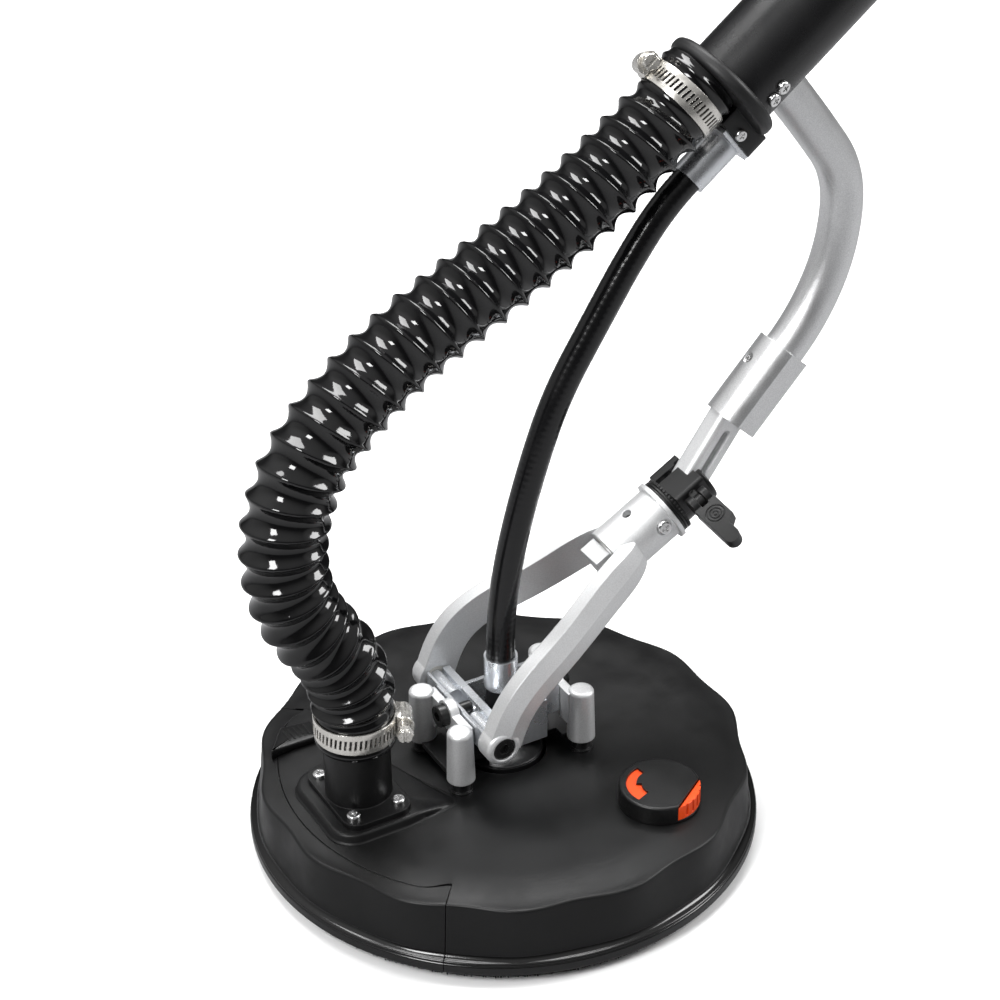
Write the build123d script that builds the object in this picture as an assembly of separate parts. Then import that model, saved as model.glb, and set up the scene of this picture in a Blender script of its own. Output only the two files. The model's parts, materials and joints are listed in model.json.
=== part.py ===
"""Head end of a pole drywall sander, as it comes apart on a bench.

Millimetres. The origin is on the floor under the middle of the sanding disc. +Z is up and +X points
from the disc towards the pole. The pole, hose and fork lie in the plane Y = 0 when the head is straight.
"""
from build123d import *
import math
import os

# ---- driving dimensions ----------------------------------------------------------------------------
DISC_R = 112.5  # a 225 mm abrasive disc
DISC_T = 1.4
PAD_R = 111.0
PAD_TOP = 9.4
PLATE_R = 108.0
PLATE_TOP = 13.0
SPINDLE_R = 6.0
SPINDLE_TOP = 58.0

RIM_R = 125.0
RIM_BOTTOM = 5.5
WALL_BOTTOM = 11.0
WALL = 3.0
ROOF_R = 116.5
ROOF = 42.0
ROOF_T = 3.5
SKIRT_HALF_ANGLE = 48.0
SKIRT_INNER_R = 109.5
SKIRT_GAP = 0.3
BRUSH_INNER_R = 117.0
BRUSH_OUTER_R = 120.4
RIM_INNER_R = 120.8

PORT = (-79.5, -2.5)
PORT_R = 16.0
PORT_BORE_R = 13.5
PORT_TOP = 94.0
PLINTH_TOP = 46.5
FLANGE_TOP = 49.5
PORT_SCREWS = ((-91.3, 15.6), (-91.3, -20.6), (-67.7, -20.6), (-67.7, 15.6))

DIAL = (44.0, -74.0)
DIAL_CAP_R = 19.5
DIAL_CAP_H = 10.0

LEG_X = 33.3
WEB_X = 28.5
WEB_T = 4.6
LEG_Y = 19.3
LEG_BOTTOM = 49.0
LEG_TOP = 77.0
LEG_R = 6.9
LEG_TOP_R = 6.2
LEG_BORE_R = 4.6
LEG_BORE_TOP = 72.0
POST_R = 4.55
POST_TOP = 60.0
AXES_Z = 73.4  # height of the roll axis and of the pitch axis
PITCH_X = -20.0
PITCH_R = 4.0
ROLL_TIP_R = 3.0
RUN = 0.05  # radial running clearance

FOOT_INNER = 29.0
FOOT_OUTER = 39.0
FOOT_R = 9.0

COLLAR = Vector(90.8, 0, 150.5)  # centre of the collar's flange face
COLLAR_TILT = 30.0
COLLAR_R = 13.8
COLLAR_FLANGE_R = 16.0
COLLAR_FLANGE_T = 2.2
COLLAR_LENGTH = 34.0
COLLAR_BORE_R = 10.4
STOP_CLEAR_R = 12.2  # room for the stop block under the collar
SHAFT_R = 8.0

POLE = Vector(118, 0, 361)  # centre of the pole's lower end
POLE_TILT = 37.4
POLE_R = 22.0
POLE_BORE_R = 20.2
POLE_LENGTH = 170.0
SPIGOT_UP = 14.8  # how far the hose spigot sits above the pole's axis
CABLE_UP = -19.5  # how far the flexible shaft sits below it
GUIDE_UP = -6.0
GUIDE_R = 6.0

SLEEVE_LOW = Vector(127.7, 0, 188.3)
SLEEVE_HIGH = Vector(157.3, 0, 219.5)
SLEEVE_R = 13.5
BOW_R = 10.2
ROD_TILT = 54.0
CASING_R = 7.0
CORE_R = 3.8
HOSE_R = 18.6
HOSE_BORE_R = 16.1

CENTRED = (Align.CENTER, Align.CENTER, Align.CENTER)
STANDING = (Align.CENTER, Align.CENTER, Align.MIN)


# ---- helpers ---------------------------------------------------------------------------------------
def tilted(origin, tilt):
    """A plane at origin whose z runs up a tilted axis, whose x is +Y and whose y is square to both, upwards."""
    angle = math.radians(tilt)
    return Plane(origin=origin, x_dir=(0, 1, 0), z_dir=(math.cos(angle), 0, math.sin(angle)))


ON_COLLAR = tilted(COLLAR, COLLAR_TILT)
ON_POLE = tilted(POLE, POLE_TILT)


def in_pole(side, up, along):
    """A point given from the pole's lower end: sideways, above the axis, and along it."""
    return ON_POLE.from_local_coords((side, up, along))


def disc(radius, low, high, x=0.0, y=0.0):
    """An upright cylinder between two heights."""
    return Pos(x, y, low) * Cylinder(radius, high - low, align=STANDING)


def ring(outer, inner, low, high, x=0.0, y=0.0):
    return disc(outer, low, high, x, y) - disc(inner, low - 1, high + 1, x, y)


def bar(start, end, radius):
    """A cylinder from one point to another."""
    start = Vector(start)
    axis = Vector(end) - start
    return Plane(origin=start, z_dir=axis.normalized()) * Cylinder(radius, axis.length, align=STANDING)


def block(low, high):
    """A box given by two corners."""
    size = [b - a for a, b in zip(low, high)]
    middle = [(a + b) / 2 for a, b in zip(low, high)]
    return Pos(*middle) * Box(*size)


def biarc(start, heading, end, end_heading):
    """Two arcs that leave start along heading and meet end along end_heading, tangent all the way."""
    reach = end - start
    both = heading + end_heading
    square = 2 * (1 - heading.dot(end_heading))
    linear = 2 * reach.dot(both)
    if square < 1e-6:
        step = reach.dot(reach) / linear
    else:
        step = (math.sqrt(linear**2 + 4 * square * reach.dot(reach)) - linear) / (2 * square)
    near = start + heading * step
    far = end - end_heading * step
    middle = (near + far) * 0.5
    return [TangentArc(start, middle, tangent=heading),
            TangentArc(middle, end, tangent=(far - near).normalized())]


def smooth_path(stations):
    """A path of arcs and lines through (point, heading) stations. Stations in line are joined straight."""
    edges = []
    for (start, heading), (end, end_heading) in zip(stations, stations[1:]):
        straight = (end - start).normalized()
        if (straight - heading).length < 1e-4 and (heading - end_heading).length < 1e-4:
            edges.append(Line(start, end))
        else:
            edges += biarc(start, heading, end, end_heading)
    return Wire(edges)


def tube_along(path, radius):
    """A round bar swept along a smooth path."""
    start = Plane(origin=path @ 0, z_dir=path % 0)
    return sweep(start * Circle(radius), path=path)


def heading(tilt):
    """A direction in the plane Y = 0, given by its angle above +X."""
    return Vector(math.cos(math.radians(tilt)), 0, math.sin(math.radians(tilt)))


def pan_screw(head_r, head_h, shank_r, length):
    """A pan-head screw that points down, with a cross recess. Its head sits on z = 0."""
    head = Cylinder(head_r, head_h, align=STANDING)
    head = fillet(head.edges().sort_by(Axis.Z)[-1:], head_h * 0.45)
    recess = Box(head_r * 1.1, head_r * 0.28, head_h) + Box(head_r * 0.28, head_r * 1.1, head_h)
    shank = Cylinder(shank_r, length, align=(Align.CENTER, Align.CENTER, Align.MAX))
    return head - Pos(0, 0, head_h) * recess + shank


def socket_screw(head_r, head_h, shank_r, length, key):
    """A cap screw that points down, with a hexagon socket. Its head sits on z = 0."""
    head = Cylinder(head_r, head_h, align=STANDING)
    head = chamfer(head.edges().sort_by(Axis.Z)[-1:], 0.5)
    socket = Pos(0, 0, head_h * 0.4) * extrude(RegularPolygon(key / 2, 6, major_radius=False), head_h)
    shank = Cylinder(shank_r, length, align=(Align.CENTER, Align.CENTER, Align.MAX))
    return head - socket + shank


parts = {}


def keep(name, shape):
    """Stores one node. A list is a group of separate, identical pieces."""
    if isinstance(shape, list):
        shape = Compound(children=[one.solid() for one in shape])
    else:
        shape = shape.solid()
    parts[name] = shape
    return shape


# ---- spindle, pad and abrasive ---------------------------------------------------------------------
NUT_BOTTOM = 4.2
keep("sanding_disc", ring(DISC_R, 13, 0, DISC_T))
keep("foam_pad", ring(PAD_R, 13, DISC_T, PAD_TOP))
plate = disc(PLATE_R, PAD_TOP, PLATE_TOP)
plate = fillet(plate.edges().sort_by(Axis.Z)[-1:], 1.5) - disc(SPINDLE_R, 0, 20)
keep("backing_plate", plate)
spindle = disc(SPINDLE_R, NUT_BOTTOM - 1, SPINDLE_TOP) + disc(11, PLATE_TOP, PLATE_TOP + 4)
spindle -= block((-2.6, -2.6, SPINDLE_TOP - 12), (2.6, 2.6, SPINDLE_TOP + 1))
keep("spindle", spindle)
nut = Pos(0, 0, NUT_BOTTOM) * extrude(RegularPolygon(9.5, 6, major_radius=False), PAD_TOP - NUT_BOTTOM)
keep("pad_nut", nut - disc(SPINDLE_R, 0, 20))

# ---- carrier: bearings, leg brackets and roll pivots -----------------------------------------------
BEARING_R = 16.0
BEARING_W = 10.0
LOW_BEARING = 18.0
HIGH_BEARING = 33.5
HOUSING_TOP = 43.5
PLATE_Z = (47.4, 50.1)


def ball_bearing(low):
    """Outer and inner race with the balls between them, as one closed piece."""
    races = ring(BEARING_R, SPINDLE_R + RUN, low, low + BEARING_W)
    groove_mid = (BEARING_R + SPINDLE_R) / 2
    for face in (low, low + BEARING_W):
        races -= ring(groove_mid + 2, groove_mid - 2, face - 1.5, face + 1.5)
    return races


keep("bearings", [ball_bearing(LOW_BEARING), ball_bearing(HIGH_BEARING)])
housing = disc(20, LOW_BEARING - 0.8, HOUSING_TOP)
housing -= disc(13, 0, 60)
housing -= disc(BEARING_R, LOW_BEARING - 2, LOW_BEARING + BEARING_W)
housing -= disc(BEARING_R, HIGH_BEARING, HOUSING_TOP + 1)
keep("spindle_housing", housing)

leg_places = [(sx * LEG_X, sy * LEG_Y) for sx in (-1, 1) for sy in (-1, 1)]
BOSS_R = 9.2
spindle_plate = block((-36, -BOSS_R, PLATE_Z[0]), (36, BOSS_R, PLATE_Z[1]))
spindle_plate += block((-37, -15.5, PLATE_Z[0]), (-25, 15.5, PLATE_Z[1]))
spindle_plate += block((25, -15.5, PLATE_Z[0]), (37, 15.5, PLATE_Z[1]))
spindle_plate += Pos(0, 0, HOUSING_TOP) * Cone(19.5, BOSS_R, PLATE_Z[0] - HOUSING_TOP, align=STANDING)
spindle_plate -= disc(SPINDLE_R + 1, 0, 60)
for x, y in leg_places:
    spindle_plate -= disc(LEG_R, 40, 60, x, y)
nose = Pos(0, 0, PLATE_Z[1]) * Cone(8.8, 7.4, 80 - PLATE_Z[1], align=STANDING)
nose -= disc(SPINDLE_R + 0.6, 0, SPINDLE_TOP + 2)
nose -= disc(CORE_R + 0.4, 50, 90)
keep("spindle_plate", spindle_plate)
keep("spindle_nose", nose)


def leg(x, y):
    """A tapering cast leg with a domed top, before its bore is cut."""
    body = Pos(x, y, LEG_BOTTOM) * Cone(LEG_R, LEG_TOP_R, LEG_TOP - LEG_BOTTOM, align=STANDING)
    return fillet(body.edges().sort_by(Axis.Z)[-1:], 2.0)


def leg_bracket(side):
    """Two legs joined by an arched web that carries one roll pivot."""
    x = side * WEB_X
    half = WEB_T / 2
    shape = block((x - half, -LEG_Y, 58), (x + half, LEG_Y, LEG_TOP - 1.2))
    shape -= Pos(x, 0, 55) * Rot(0, 90, 0) * Cylinder(11.5, 20, align=CENTRED)
    shape += Pos(x, 0, AXES_Z) * Rot(0, 90, 0) * Cylinder(7.0, WEB_T, align=CENTRED)
    shape += block((x - half, -7, AXES_Z - 8), (x + half, 7, AXES_Z))
    for sy in (-1, 1):
        shape += leg(side * LEG_X, sy * LEG_Y)
    for sy in (-1, 1):
        shape -= disc(LEG_BORE_R, 40, LEG_BORE_TOP, side * LEG_X, sy * LEG_Y)
    shape -= Pos(x, 0, AXES_Z) * Rot(0, 90, 0) * Cylinder(PITCH_R, 20, align=CENTRED)
    return shape


keep("leg_brackets", [leg_bracket(-1), leg_bracket(1)])


def roll_pivot(side):
    """Screw through a web. Its smooth tip is the roll pin."""
    outside = WEB_X + WEB_T / 2
    screw = socket_screw(5.6, 4.5, PITCH_R, WEB_T, 5.0)
    screw += Pos(0, 0, -WEB_T) * Cylinder(ROLL_TIP_R, 9.0, align=(Align.CENTER, Align.CENTER, Align.MAX))
    turn = Rot(0, 90, 0) if side > 0 else Rot(0, -90, 0)
    return Pos(side * outside, 0, AXES_Z) * turn * screw


keep("roll_pivots", [roll_pivot(-1), roll_pivot(1)])
keep("lower_ferrule", fillet(ring(8.2, CASING_R + RUN, 80, 97).edges().sort_by(Axis.Z)[:1], 0.4)
     - disc(CORE_R + 0.4, 70, 90) + ring(8.2, CORE_R + 0.4, 80, 83))

# ---- gimbal frame and pitch pins -------------------------------------------------------------------
RING_X = (-15.0, 16.0)
RING_Y = 16.5
RING_Z = (52.9, 75.0)
TAIL_X = 25.6
SHEET = 2.2
frame = block((-25.6, -28.4, 66.5), (-13.0, 28.4, 78.2))
frame -= block((-20.6 - 3.6, -40, 76.2), (-20.6 + 3.6, 40, 90))
frame += block((RING_X[0], -RING_Y, RING_Z[0]), (RING_X[1], RING_Y, RING_Z[1]))
frame += block((RING_X[1] - 3, -11.5, 62), (TAIL_X, 11.5, 79))
frame -= block((RING_X[0] + SHEET, -RING_Y + SHEET, 40), (RING_X[1] - SHEET, RING_Y - SHEET, 90))
frame -= block((0, -11.5 + SHEET, 40), (TAIL_X - 3.6, 11.5 - SHEET, 90))
frame -= Pos(PITCH_X, 0, AXES_Z) * Rot(90, 0, 0) * Cylinder(PITCH_R, 80, align=CENTRED)
frame -= Pos(0, 0, AXES_Z) * Rot(0, 90, 0) * Cylinder(ROLL_TIP_R + RUN, 80, align=CENTRED)
keep("gimbal_frame", frame)
shaft_half = FOOT_OUTER - 3.4
PIN_INNER = 10.0
pitch_pins = []
for side in (-1, 1):
    turn = Rot(-90, 0, 0) if side > 0 else Rot(90, 0, 0)
    pin = turn * Cylinder(PITCH_R, shaft_half - PIN_INNER, align=STANDING)
    pitch_pins.append(Pos(PITCH_X, side * PIN_INNER, AXES_Z) * pin)
keep("pitch_pins", pitch_pins)


def foot_screw(side):
    """Black socket screw on a pitch pin's end, sunk in the fork's foot."""
    turn = Rot(-90, 0, 0) if side > 0 else Rot(90, 0, 0)
    head = Cylinder(5.6, 3.0, align=STANDING)
    head = chamfer(head.edges().sort_by(Axis.Z)[-1:], 0.5)
    head -= Pos(0, 0, 1) * extrude(RegularPolygon(2.5, 6, major_radius=False), 5)
    return Pos(PITCH_X, side * shaft_half, AXES_Z) * turn * head


keep("foot_screws", [foot_screw(-1), foot_screw(1)])

# ---- fork ------------------------------------------------------------------------------------------
# Stations down one arm: x, z, half gap to the middle plane, depth, thickness and lean of the section.
ARM = (
    (70.5, 138.8, 10.4, 15.0, 8.0, 28.0),
    (55.0, 131.6, 17.5, 20.0, 9.0, 28.0),
    (33.0, 119.3, 24.0, 19.5, 9.0, 28.0),
    (13.0, 109.2, 30.2, 19.0, 9.0, 31.0),
    (-3.0, 99.5, 33.4, 18.5, 9.2, 45.0),
    (-13.5, 86.5, 34.0, 18.0, 9.6, 63.0),
    (-19.5, 72.0, 34.0, 18.0, 9.8, 78.0),
)
RIDGE = 1.5


def arm_section(x, z, y, depth, thick, lean, side):
    """Five-sided section of a cast arm: flat inside, with a ridge along the outside."""
    angle = math.radians(lean)
    up = Vector(-math.sin(angle), 0, math.cos(angle))
    out = Vector(0, side, 0)
    middle = Vector(x, side * y, z)
    corners = (
        middle - out * thick / 2 + up * depth / 2,
        middle - out * thick / 2 - up * depth / 2,
        middle + out * (thick / 2 - RIDGE) - up * depth / 2,
        middle + out * (thick / 2 + RIDGE * 0.4),
        middle + out * (thick / 2 - RIDGE) + up * depth / 2,
    )
    return make_face(Polyline(*corners, close=True))


def arm(side):
    return loft([arm_section(*station, side) for station in ARM])


def foot(side):
    boss = Cylinder(FOOT_R, FOOT_OUTER - FOOT_INNER, align=STANDING)
    boss = fillet(boss.edges().sort_by(Axis.Z)[-1:], 2.5)
    turn = Rot(-90, 0, 0) if side > 0 else Rot(90, 0, 0)
    return Pos(PITCH_X, side * FOOT_INNER, AXES_Z) * turn * boss


collar = Cylinder(COLLAR_R, COLLAR_LENGTH, align=(Align.CENTER, Align.CENTER, Align.MAX))
collar += Pos(0, 0, -COLLAR_FLANGE_T) * Cylinder(COLLAR_FLANGE_R, COLLAR_FLANGE_T, align=STANDING)
collar = ON_COLLAR * collar
fork = collar
for side in (-1, 1):
    fork += arm(side)
    fork += foot(side)
fork -= ON_COLLAR * Cylinder(COLLAR_BORE_R, 90, align=CENTRED)
fork -= ON_COLLAR * Pos(0, 0, -COLLAR_LENGTH - 16) * Cylinder(STOP_CLEAR_R, 16, align=STANDING)
fork -= block((-60, -FOOT_INNER, 40), (0, FOOT_INNER, 84))
BUSH_R = 6.0
for side in (-1, 1):
    fork -= Pos(PITCH_X, side * 35, AXES_Z) * Rot(90, 0, 0) * Cylinder(BUSH_R, 30, align=CENTRED)
fork -= ON_COLLAR * Pos(0, 0, -16.25) * Rot(-90, 0, 0) * Cylinder(2.4, 30, align=STANDING)
SCREW_ALONG = -7.3
SCREW_SEAT = 13.2
SCREW_TURN = ON_COLLAR * Pos(0, 0, SCREW_ALONG) * Rot(0, 0, -14) * Rot(0, -90, 0)
fork -= SCREW_TURN * Cylinder(2.0, 30, align=STANDING)
fork -= SCREW_TURN * Pos(0, 0, SCREW_SEAT) * Cylinder(3.8, 30, align=STANDING)
keep("fork", fork)


def foot_bush(side):
    """Flanged bush pressed in a foot. A pitch pin turns in it."""
    low = FOOT_INNER + 0.4
    bush = Cylinder(BUSH_R, shaft_half - 0.2 - low, align=STANDING)
    bush -= Cylinder(PITCH_R + RUN, 60, align=CENTRED)
    turn = Rot(-90, 0, 0) if side > 0 else Rot(90, 0, 0)
    return Pos(PITCH_X, side * low, AXES_Z) * turn * bush


keep("foot_bushes", [foot_bush(-1), foot_bush(1)])
collar_bushes = []
for low, high in ((-COLLAR_LENGTH, -22.0), (-13.0, 0.0)):
    bush = Pos(0, 0, low) * Cylinder(COLLAR_BORE_R, high - low, align=STANDING)
    bush = ON_COLLAR * (bush - Cylinder(SHAFT_R + RUN, 90, align=CENTRED))
    collar_bushes.append(bush - SCREW_TURN * Cylinder(2.0, 30, align=STANDING))
keep("collar_bushes", collar_bushes)
keep("collar_screw", SCREW_TURN * Pos(0, 0, SCREW_SEAT) * pan_screw(3.5, 2.2, 1.95, 6.0))

# ---- swivel rod, lock clamp and lever --------------------------------------------------------------
KNEE_AT = 10.0
knee = ON_COLLAR.from_local_coords((0, 0, KNEE_AT))
rod_plane = tilted(knee, ROD_TILT)
ROD_LENGTH = 51.0
rod = rod_plane * (Box(12.6, 16.4, ROD_LENGTH, align=STANDING))
rod = fillet(rod.edges().filter_by(lambda e: e.length > ROD_LENGTH - 1), 3.6)
rod += bar(ON_COLLAR.from_local_coords((0, 0, -COLLAR_LENGTH - 2)), knee, SHAFT_R)
rod += Pos(knee) * Sphere(SHAFT_R)
# A stop block under the collar keeps the shaft in, and a groove takes the collar screw's tip.
stop = Pos(0, 1, 0) * Cylinder(7.5, 8.5, align=STANDING) + Pos(0, 5, 0) * Box(15, 8, 8.5, align=STANDING)
rod += ON_COLLAR * Pos(0, 0, -COLLAR_LENGTH - 9.5) * stop
rod -= ON_COLLAR * Pos(0, 0, SCREW_ALONG) * (
    Cylinder(SHAFT_R + 1, 6, align=CENTRED) - Cylinder(6.4, 6, align=CENTRED))
slot = Rot(0, 90, 0) * SlotOverall(27, 4.6)
rod -= rod_plane * Pos(0, 0, 26) * extrude(slot, 20, both=True)
keep("swivel_rod", rod)

INDEX_R = 14.6
TEETH = 44
index_ring = Pos(0, 0, 0.3) * Cylinder(INDEX_R, 4.4, align=STANDING)
for groove_at in (1.3, 2.7):
    index_ring -= Pos(0, 0, groove_at) * (
        Cylinder(INDEX_R + 1, 0.6, align=STANDING) - Cylinder(INDEX_R - 0.9, 0.6, align=STANDING))
tooth = Pos(INDEX_R + 0.1, 0, 3.3) * Rot(0, 0, 45) * Box(0.9, 0.9, 3, align=STANDING)
for step in range(TEETH):
    index_ring -= Rot(0, 0, step * 360 / TEETH) * tooth
index_ring -= Cylinder(SHAFT_R, 30, align=CENTRED)
keep("index_ring", ON_COLLAR * index_ring)

BOLT_UP = 7.8
BOLT_AT = 12.8
LEVER_SIDE = -21.0
LEVER_PIN_R = 1.8
CLAMP_LOW = 4.7
CLAMP_R = 12.4
EAR_NEAR = -14.5
EAR_FAR = 11.0
EAR_TOP = 12.4
clamp = Pos(0, 0, CLAMP_LOW) * Cylinder(CLAMP_R, 19.4, align=STANDING)
clamp = fillet(clamp.edges().sort_by(Axis.Z)[-1:], 1.2)
ear_middle = (EAR_NEAR + EAR_FAR) / 2
ear = Pos(ear_middle, EAR_TOP - 5.5, CLAMP_LOW) * Box(EAR_FAR - EAR_NEAR, 11, 16.5, align=STANDING)
ear = fillet(ear.edges().filter_by(Axis.Z).sort_by(Axis.Y)[-2:], 2.0)
clamp += ear
clamp -= Cylinder(SHAFT_R + 0.02, 60, align=CENTRED)
clamp -= Pos(3.5, 14, BOLT_AT) * Box(3.0, 16, 40)
clamp = ON_COLLAR * clamp
clamp -= rod_plane * Pos(0, 0, -4) * Box(12.7, 16.5, 90, align=STANDING)
bolt_line = ON_COLLAR * Pos(0, BOLT_UP, BOLT_AT) * Rot(0, 90, 0)
clamp -= bolt_line * Cylinder(3, 60, align=CENTRED)
clamp -= bolt_line * Pos(0, 0, EAR_FAR) * Cylinder(5.2, 20, align=STANDING)
keep("clamp_body", clamp.solids().sort_by(SortBy.VOLUME)[-1])
# The bolt's flat eye sits in the lever's slot, on the lever's pin.
EYE_THICKNESS = 3.6
bolt = Pos(0, 0, -14.8) * Cylinder(2.95, EAR_FAR + 14.8, align=STANDING)
bolt += Pos(0, 0, EAR_FAR + 0.02) * Cylinder(5.0, 3.1, align=STANDING)
bolt += Pos(0, 0, LEVER_SIDE) * Box(EYE_THICKNESS, 4.6, 8.0, align=STANDING)
bolt += Pos(0, 0, LEVER_SIDE) * Rot(0, 90, 0) * Cylinder(3.8, EYE_THICKNESS, align=CENTRED)
bolt -= Pos(0, 0, LEVER_SIDE) * Rot(0, 90, 0) * Cylinder(LEVER_PIN_R, 20, align=CENTRED)
bolt = bolt_line * bolt - rod
keep("lock_bolt", bolt.solids().sort_by(SortBy.VOLUME)[-1])

lever_plane = ON_COLLAR * Pos(LEVER_SIDE, BOLT_UP, BOLT_AT)
lever = lever_plane * Cylinder(5.2, 11, align=CENTRED)
# Seen down the hinge axis, the wing runs away from the clamp and narrows to a rounded tip.
WING_HALF = 6.2
TAB_R = 4.0
TAB_AT = -27.0
outline = Polyline((0, -4), (-5, -WING_HALF), (TAB_AT, -WING_HALF), (TAB_AT, 2 * TAB_R - WING_HALF),
                   (-21.5, 2 * TAB_R - WING_HALF), (-18.5, WING_HALF), (-5, WING_HALF), (0, 4), close=True)
wing = extrude(make_face(outline), 3.0, both=True)
wing += Pos(TAB_AT, TAB_R - WING_HALF, 0) * Cylinder(TAB_R, 6.0, align=CENTRED)
wing = Rot(90, 0, 0) * wing
for outer, inner in ((4.8, 4.0), (3.1, 2.4), (1.5, 0.7)):
    wing -= Pos(-12.5, 0, 0) * Rot(90, 0, 0) * (
        Cylinder(outer, 7, align=CENTRED) - Cylinder(inner, 7, align=CENTRED) - Cylinder(6, 5.2, align=CENTRED))
lever += lever_plane * Rot(0, 0, 12) * wing
lever -= lever_plane * Cylinder(LEVER_PIN_R, 30, align=CENTRED)
lever -= lever_plane * Cylinder(6.0, EYE_THICKNESS + 0.4, align=CENTRED)
keep("lock_lever", lever)
keep("lever_pin", lever_plane * Cylinder(LEVER_PIN_R - RUN, 11, align=CENTRED))

# ---- sleeve, bow tube and pole ---------------------------------------------------------------------
sleeve_axis = (SLEEVE_HIGH - SLEEVE_LOW).normalized()
sleeve_plane = Plane(origin=SLEEVE_LOW, x_dir=(0, 1, 0), z_dir=sleeve_axis)
sleeve_length = (SLEEVE_HIGH - SLEEVE_LOW).length
sleeve = Cylinder(SLEEVE_R, sleeve_length, align=STANDING) & Box(25, 27, 200)
sleeve = chamfer(sleeve.edges().sort_by(Axis.Z)[-1:], 0.6)
bow_into = 24.0
sleeve -= Pos(0, 0, sleeve_length - bow_into) * Cylinder(BOW_R, 40, align=STANDING)
sleeve = sleeve_plane * sleeve - rod
SLEEVE_SCREW = sleeve_plane * Pos(0, 0, sleeve_length - 13.3) * Rot(0, 0, 79) * Rot(0, 90, 0)
sleeve -= SLEEVE_SCREW * Pos(0, 0, BOW_R - 1) * Cylinder(2.9, 20, align=STANDING)
keep("bow_sleeve", sleeve)

BOW_ROOT = 22.5
root = in_pole(0, -14.5, BOW_ROOT)
below = in_pole(0, -36.0, BOW_ROOT)
down = (below - root).normalized()
bow_end = SLEEVE_HIGH - sleeve_axis * bow_into
bow_path = smooth_path((
    (root, down), (below, down), (Vector(186.3, 0, 290), Vector(0, 0, -1)),
    (SLEEVE_HIGH, sleeve_axis * -1), (bow_end, sleeve_axis * -1)))
bow = tube_along(bow_path, BOW_R)
bow_inner = tube_along(bow_path, BOW_R - 1.8)
keep("bow_tube", bow - bow_inner)
keep("sleeve_screw", SLEEVE_SCREW * Pos(0, 0, BOW_R) * (
    Cylinder(2.9, 2.6, align=STANDING)
    - Pos(0, 0, 1.4) * extrude(RegularPolygon(1.5, 6, major_radius=False), 4)))

POLE_SCREWS = ((16.9, -102.5), (10.2, -105.5))


def on_pole_wall(along, angle, radius):
    """A place on the pole's wall whose z points straight out. Angle 0 is the top of the pole."""
    return ON_POLE * Pos(0, 0, along) * Rot(0, 0, -angle) * Rot(-90, 0, 0) * Pos(0, 0, radius)


pole = Cylinder(POLE_R, POLE_LENGTH, align=STANDING)
pole -= Cylinder(POLE_BORE_R, 500, align=CENTRED)
pole = ON_POLE * pole
pole -= ON_POLE * Pos(0, -14.5, BOW_ROOT) * Rot(90, 0, 0) * Cylinder(BOW_R, 40, align=STANDING)
BUTTON_R = 4.0
BUTTON_FROM_END = 20.0
SOCKET_R = 20.8
SOCKET_DEPTH = 40.0
pole -= ON_POLE * Pos(0, 0, POLE_LENGTH - SOCKET_DEPTH) * Cylinder(SOCKET_R, 60, align=STANDING)
button = Rot(-90, 0, 0) * Cylinder(BUTTON_R, 40, align=STANDING)
pole -= ON_POLE * Pos(0, 0, POLE_LENGTH - BUTTON_FROM_END) * button
for side in (-1, 1):
    for along, angle in POLE_SCREWS:
        pole -= on_pole_wall(along, side * angle, 0) * Cylinder(2.0, 40, align=STANDING)
keep("pole_tube", pole)
# A liner round the lower half of the pole's bore, thicker where the bow tube plugs in.
SADDLE_LOW = 8.1
SADDLE_LENGTH = 28.4
solid_bore = Pos(0, 0, SADDLE_LOW) * Cylinder(POLE_BORE_R, SADDLE_LENGTH, align=STANDING)
liner = solid_bore - Cylinder(POLE_BORE_R - 3.4, 200, align=CENTRED)
saddle = (liner & Pos(0, -11.1, 20) * Box(60, 18.2, 60)) + (solid_bore & Pos(0, -16.9, 20) * Box(60, 6.6, 60))
saddle = ON_POLE * saddle
saddle -= bar(root + down * -4, root + down * 30, BOW_R)
for side in (-1, 1):
    for along, angle in POLE_SCREWS:
        saddle -= on_pole_wall(along, side * angle, 0) * Cylinder(2.0, 40, align=STANDING)
keep("bow_saddle", saddle.solids().sort_by(SortBy.VOLUME)[-1])
pole_screws = []
for side in (-1, 1):
    for along, angle in POLE_SCREWS:
        pole_screws.append(on_pole_wall(along, side * angle, POLE_R) * pan_screw(3.2, 2.2, 1.95, 5.0))
keep("pole_screws", pole_screws)

# ---- end cap, duct and flexible shaft --------------------------------------------------------------
FLANGE_R = 29.0
FLANGE_UP = 3.0
FLANGE_LOW = -3.0
FLANGE_T = 7.0
CAP_LOW = -12.5
GUIDE_LOW = 13.0
GUIDE_END = POLE_LENGTH - 66.0
UPWARDS = Vector(0, 0, 1)
along_pole = ON_POLE.z_dir
casing_low = Vector(0, 0, 83.2)
casing_top = in_pole(0, CABLE_UP, -10.5)
casing_stations = (
    (casing_low, UPWARDS), (Vector(0, 0, 98), UPWARDS), (Vector(24.9, 0, 214), heading(69)),
    (Vector(61, 0, 277), heading(57)), (in_pole(0, CABLE_UP, -38), along_pole), (casing_top, along_pole))
core_bend = (
    (casing_top, along_pole), (in_pole(0, GUIDE_UP, GUIDE_LOW - 1), along_pole))
core_end = (in_pole(0, GUIDE_UP, GUIDE_END - 6), along_pole)
casing_path = smooth_path(casing_stations)
core_low = (Vector(0, 0, SPINDLE_TOP + 0.6), UPWARDS)
core_path = smooth_path((core_low,) + casing_stations + core_bend[1:] + (core_end,))

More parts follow.
